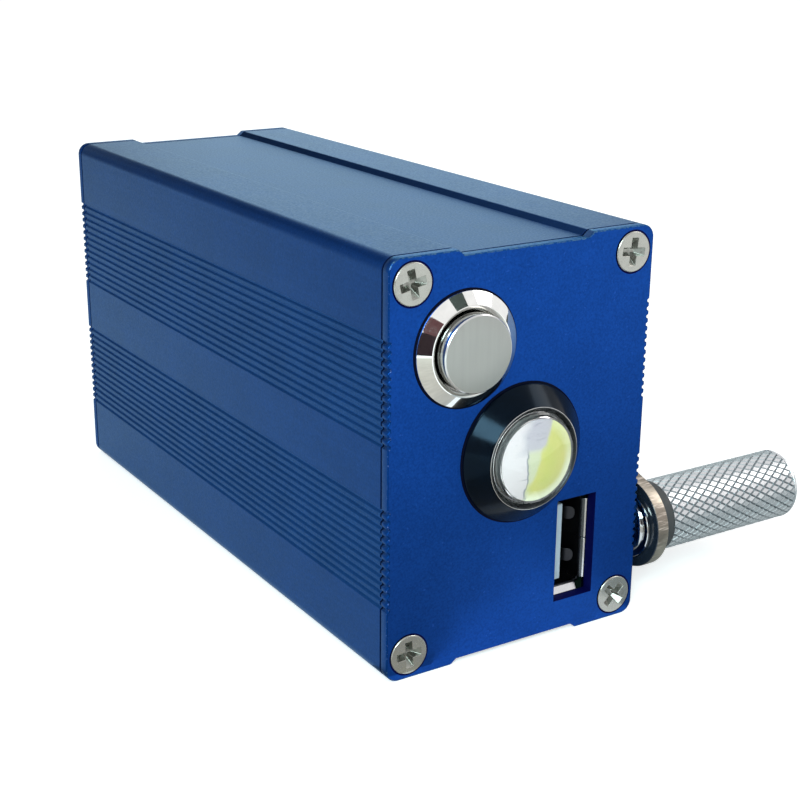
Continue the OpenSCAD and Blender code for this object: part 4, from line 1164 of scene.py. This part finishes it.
# ---------------------------------------------------------------- the parts inside
FINISHES = {
    "button_nut": nickel, "button_base": black_plastic, "button_terminals": gold,
    "lamp_nut": black_bezel, "lamp_emitter": white_cup,
    "lamp_board": can_steel, "lamp_plug": black_plastic, "socket_contacts": gold,
    "main_board": board, "board_coil": coil_copper, "board_capacitors": sleeve,
    "board_chips": chip, "battery_cell": sleeve, "battery_cradle": black_plastic,
    "battery_foam": foam_strip, "battery_tabs": nickel, "inner_plate": plate_steel,
    "outer_plate": plate_steel, "plate_posts": brass, "case_side_screws": nickel,
    "inner_plate_screws": nickel, "gear_pins": ground_steel, "crank_bush": brass,
    "inner_bush": brass, "crank_shaft": ground_steel, "crank_gear": brass,
    "first_gear_pair": brass, "second_gear_pair": brass,
    "generator_can": can_steel, "generator_cap": black_plastic,
    "generator_winding": winding_copper, "generator_screws": nickel,
    "rotor_shaft": ground_steel, "rotor_magnet": magnet_grey, "rotor_pinion": brass,
}
for node, material in FINISHES.items():
    dress(nodes[node], material)


# ---------------------------------------------------------------- studio
ROOM_LIGHT = 0.60
FLOOR_MIRRORED = 0.36
FLOOR_SEEN = 0.52


def studio_floor():
    """A pale floor that glows a little where it is seen or mirrored, as it lies in light."""
    bpy.ops.object.select_all(action="DESELECT")
    bpy.ops.mesh.primitive_plane_add(size=12, location=(0, 0, -0.05 * MM))
    floor = started("studio_floor")
    finish = Finish("pale_floor", (0.8, 0.8, 0.8), Roughness=0.9)
    finish.shader.inputs["Specular IOR Level"].default_value = 0.1
    path = finish.add("LightPath")
    mirrored = finish.calc(
        "MAXIMUM", path.outputs["Is Glossy Ray"], path.outputs["Is Transmission Ray"]
    )
    glow = finish.add(
        "Emission",
        Strength=finish.calc(
            "ADD", finish.calc("MULTIPLY", mirrored, FLOOR_MIRRORED),
            finish.calc("MULTIPLY", path.outputs["Is Camera Ray"], FLOOR_SEEN)
        )
    )
    both = finish.add("AddShader")
    finish.feed(both.inputs[0], finish.shader.outputs["BSDF"])
    finish.feed(both.inputs[1], glow.outputs["Emission"])
    finish.feed(finish.tree.nodes["Material Output"].inputs["Surface"], both.outputs["Shader"])
    dress(floor, finish.material)


def card(name, at, towards, width, height, tone, spin=0):
    """A toned card that only gloss sees, as stands beside a product table."""
    bpy.ops.object.select_all(action="DESELECT")
    bpy.ops.mesh.primitive_plane_add(size=1)
    sheet = started(name)
    turn = (Vector(towards) - Vector(at)).to_track_quat("Z", "Y").to_matrix().to_4x4()
    sheet.data.transform(
        Matrix.Translation(Vector(at) * MM) @ turn
        @ Matrix.Rotation(math.radians(spin), 4, "Z")
        @ Matrix.Diagonal((width * MM, height * MM, 1, 1))
    )
    sheet.visible_camera = False
    sheet.visible_diffuse = False
    sheet.visible_shadow = False
    sheet.visible_transmission = False
    dress(sheet, moulded(name, tone, (0.9, 1.0)))


def soft_lamp(name, at, towards, size, watts, colour):
    """A square softbox, itself out of sight."""
    light = bpy.data.lights.new(name, "AREA")
    light.shape = "SQUARE"
    light.size = size * MM
    light.energy = watts
    light.color = colour
    holder = bpy.data.objects.new(name, light)
    holder.location = Vector(at) * MM
    aim = (Vector(at) - Vector(towards)).to_track_quat("Z", "Y")
    holder.rotation_euler = aim.to_euler()
    holder.visible_camera = False
    bpy.context.scene.collection.objects.link(holder)


def studio_world():
    """A pale room: white where it is seen or mirrored, softer as a light."""
    world = bpy.data.worlds.new("white_studio")
    world.use_nodes = True
    tree = world.node_tree
    path = tree.nodes.new("ShaderNodeLightPath")
    background = tree.nodes["Background"]
    background.inputs["Color"].default_value = (1, 1, 1, 1)
    level = path.outputs["Is Camera Ray"]
    for ray in ("Is Glossy Ray", "Is Transmission Ray"):
        either = tree.nodes.new("ShaderNodeMath")
        either.operation = "MAXIMUM"
        tree.links.new(level, either.inputs[0])
        tree.links.new(path.outputs[ray], either.inputs[1])
        level = either.outputs["Value"]
    strength = tree.nodes.new("ShaderNodeMapRange")
    strength.inputs["To Min"].default_value = ROOM_LIGHT
    tree.links.new(level, strength.inputs["Value"])
    tree.links.new(strength.outputs["Result"], background.inputs["Strength"])
    return world


def studio():
    scene = bpy.context.scene
    scene.world = studio_world()
    studio_floor()
    soft_lamp("left_softbox", (-300, -394, 290), (0, -50, 28), 215, 2.5, (0.75, 1.0, 1.0))
    soft_lamp("right_softbox", (343, -180, 302), (10, -50, 28), 200, 0.4, (1.0, 0.97, 0.93))
    soft_lamp("back_softbox", (292, 513, 175), (0, 0, 50), 320, 0.24, (0.80, 1.0, 1.0))
    card("upper_card", (44, -176, 166), tuple(button), 60, 56, (0.09, 0.11, 0.10))
    card("front_card", (-56, -178, 92), tuple(button), 60, 54, (0.17, 0.07, 0.075))
    card("low_front_card", (-82, -172, 44), tuple(button), 84, 66, (0.03, 0.015, 0.02))
    card("right_card", (189, -36, 22), tuple(button), 24, 60, (0.06, 0.06, 0.05))
    card("rear_left_card", (-35, 250, 190), (-20, -10, 56), 235, 150, (0.03, 0.06, 0.11))
    card("rear_low_card", (-118, 250, 92), (-20, -10, 56), 130, 100, (0.05, 0.08, 0.13))
    card("handle_back_card", (115, 17, 25), (45, -45, 12), 110, 50, (0.42, 0.45, 0.46))
    card("table_card", (-39, -125, 1), (-39, -125, 100), 66, 150, (0.58, 0.52, 0.47), -37.4)
    card("handle_card", (62, -60, 0.5), (62, -60, 100), 84, 120, (0.46, 0.48, 0.49))
    camera = bpy.data.cameras.new("photo_camera")
    camera.lens = 67.254
    camera.sensor_width = 36
    camera.shift_x = 0.00593
    camera.shift_y = 0.00528
    camera.clip_start = 0.01
    holder = bpy.data.objects.new("photo_camera", camera)
    scene.collection.objects.link(holder)
    holder.location = Vector((-111.258, -194.900, 96.031)) * MM
    holder.rotation_euler = [math.radians(angle) for angle in (71.295, -0.424, -32.229)]
    scene.camera = holder
    scene.view_settings.view_transform = "Standard"


studio()
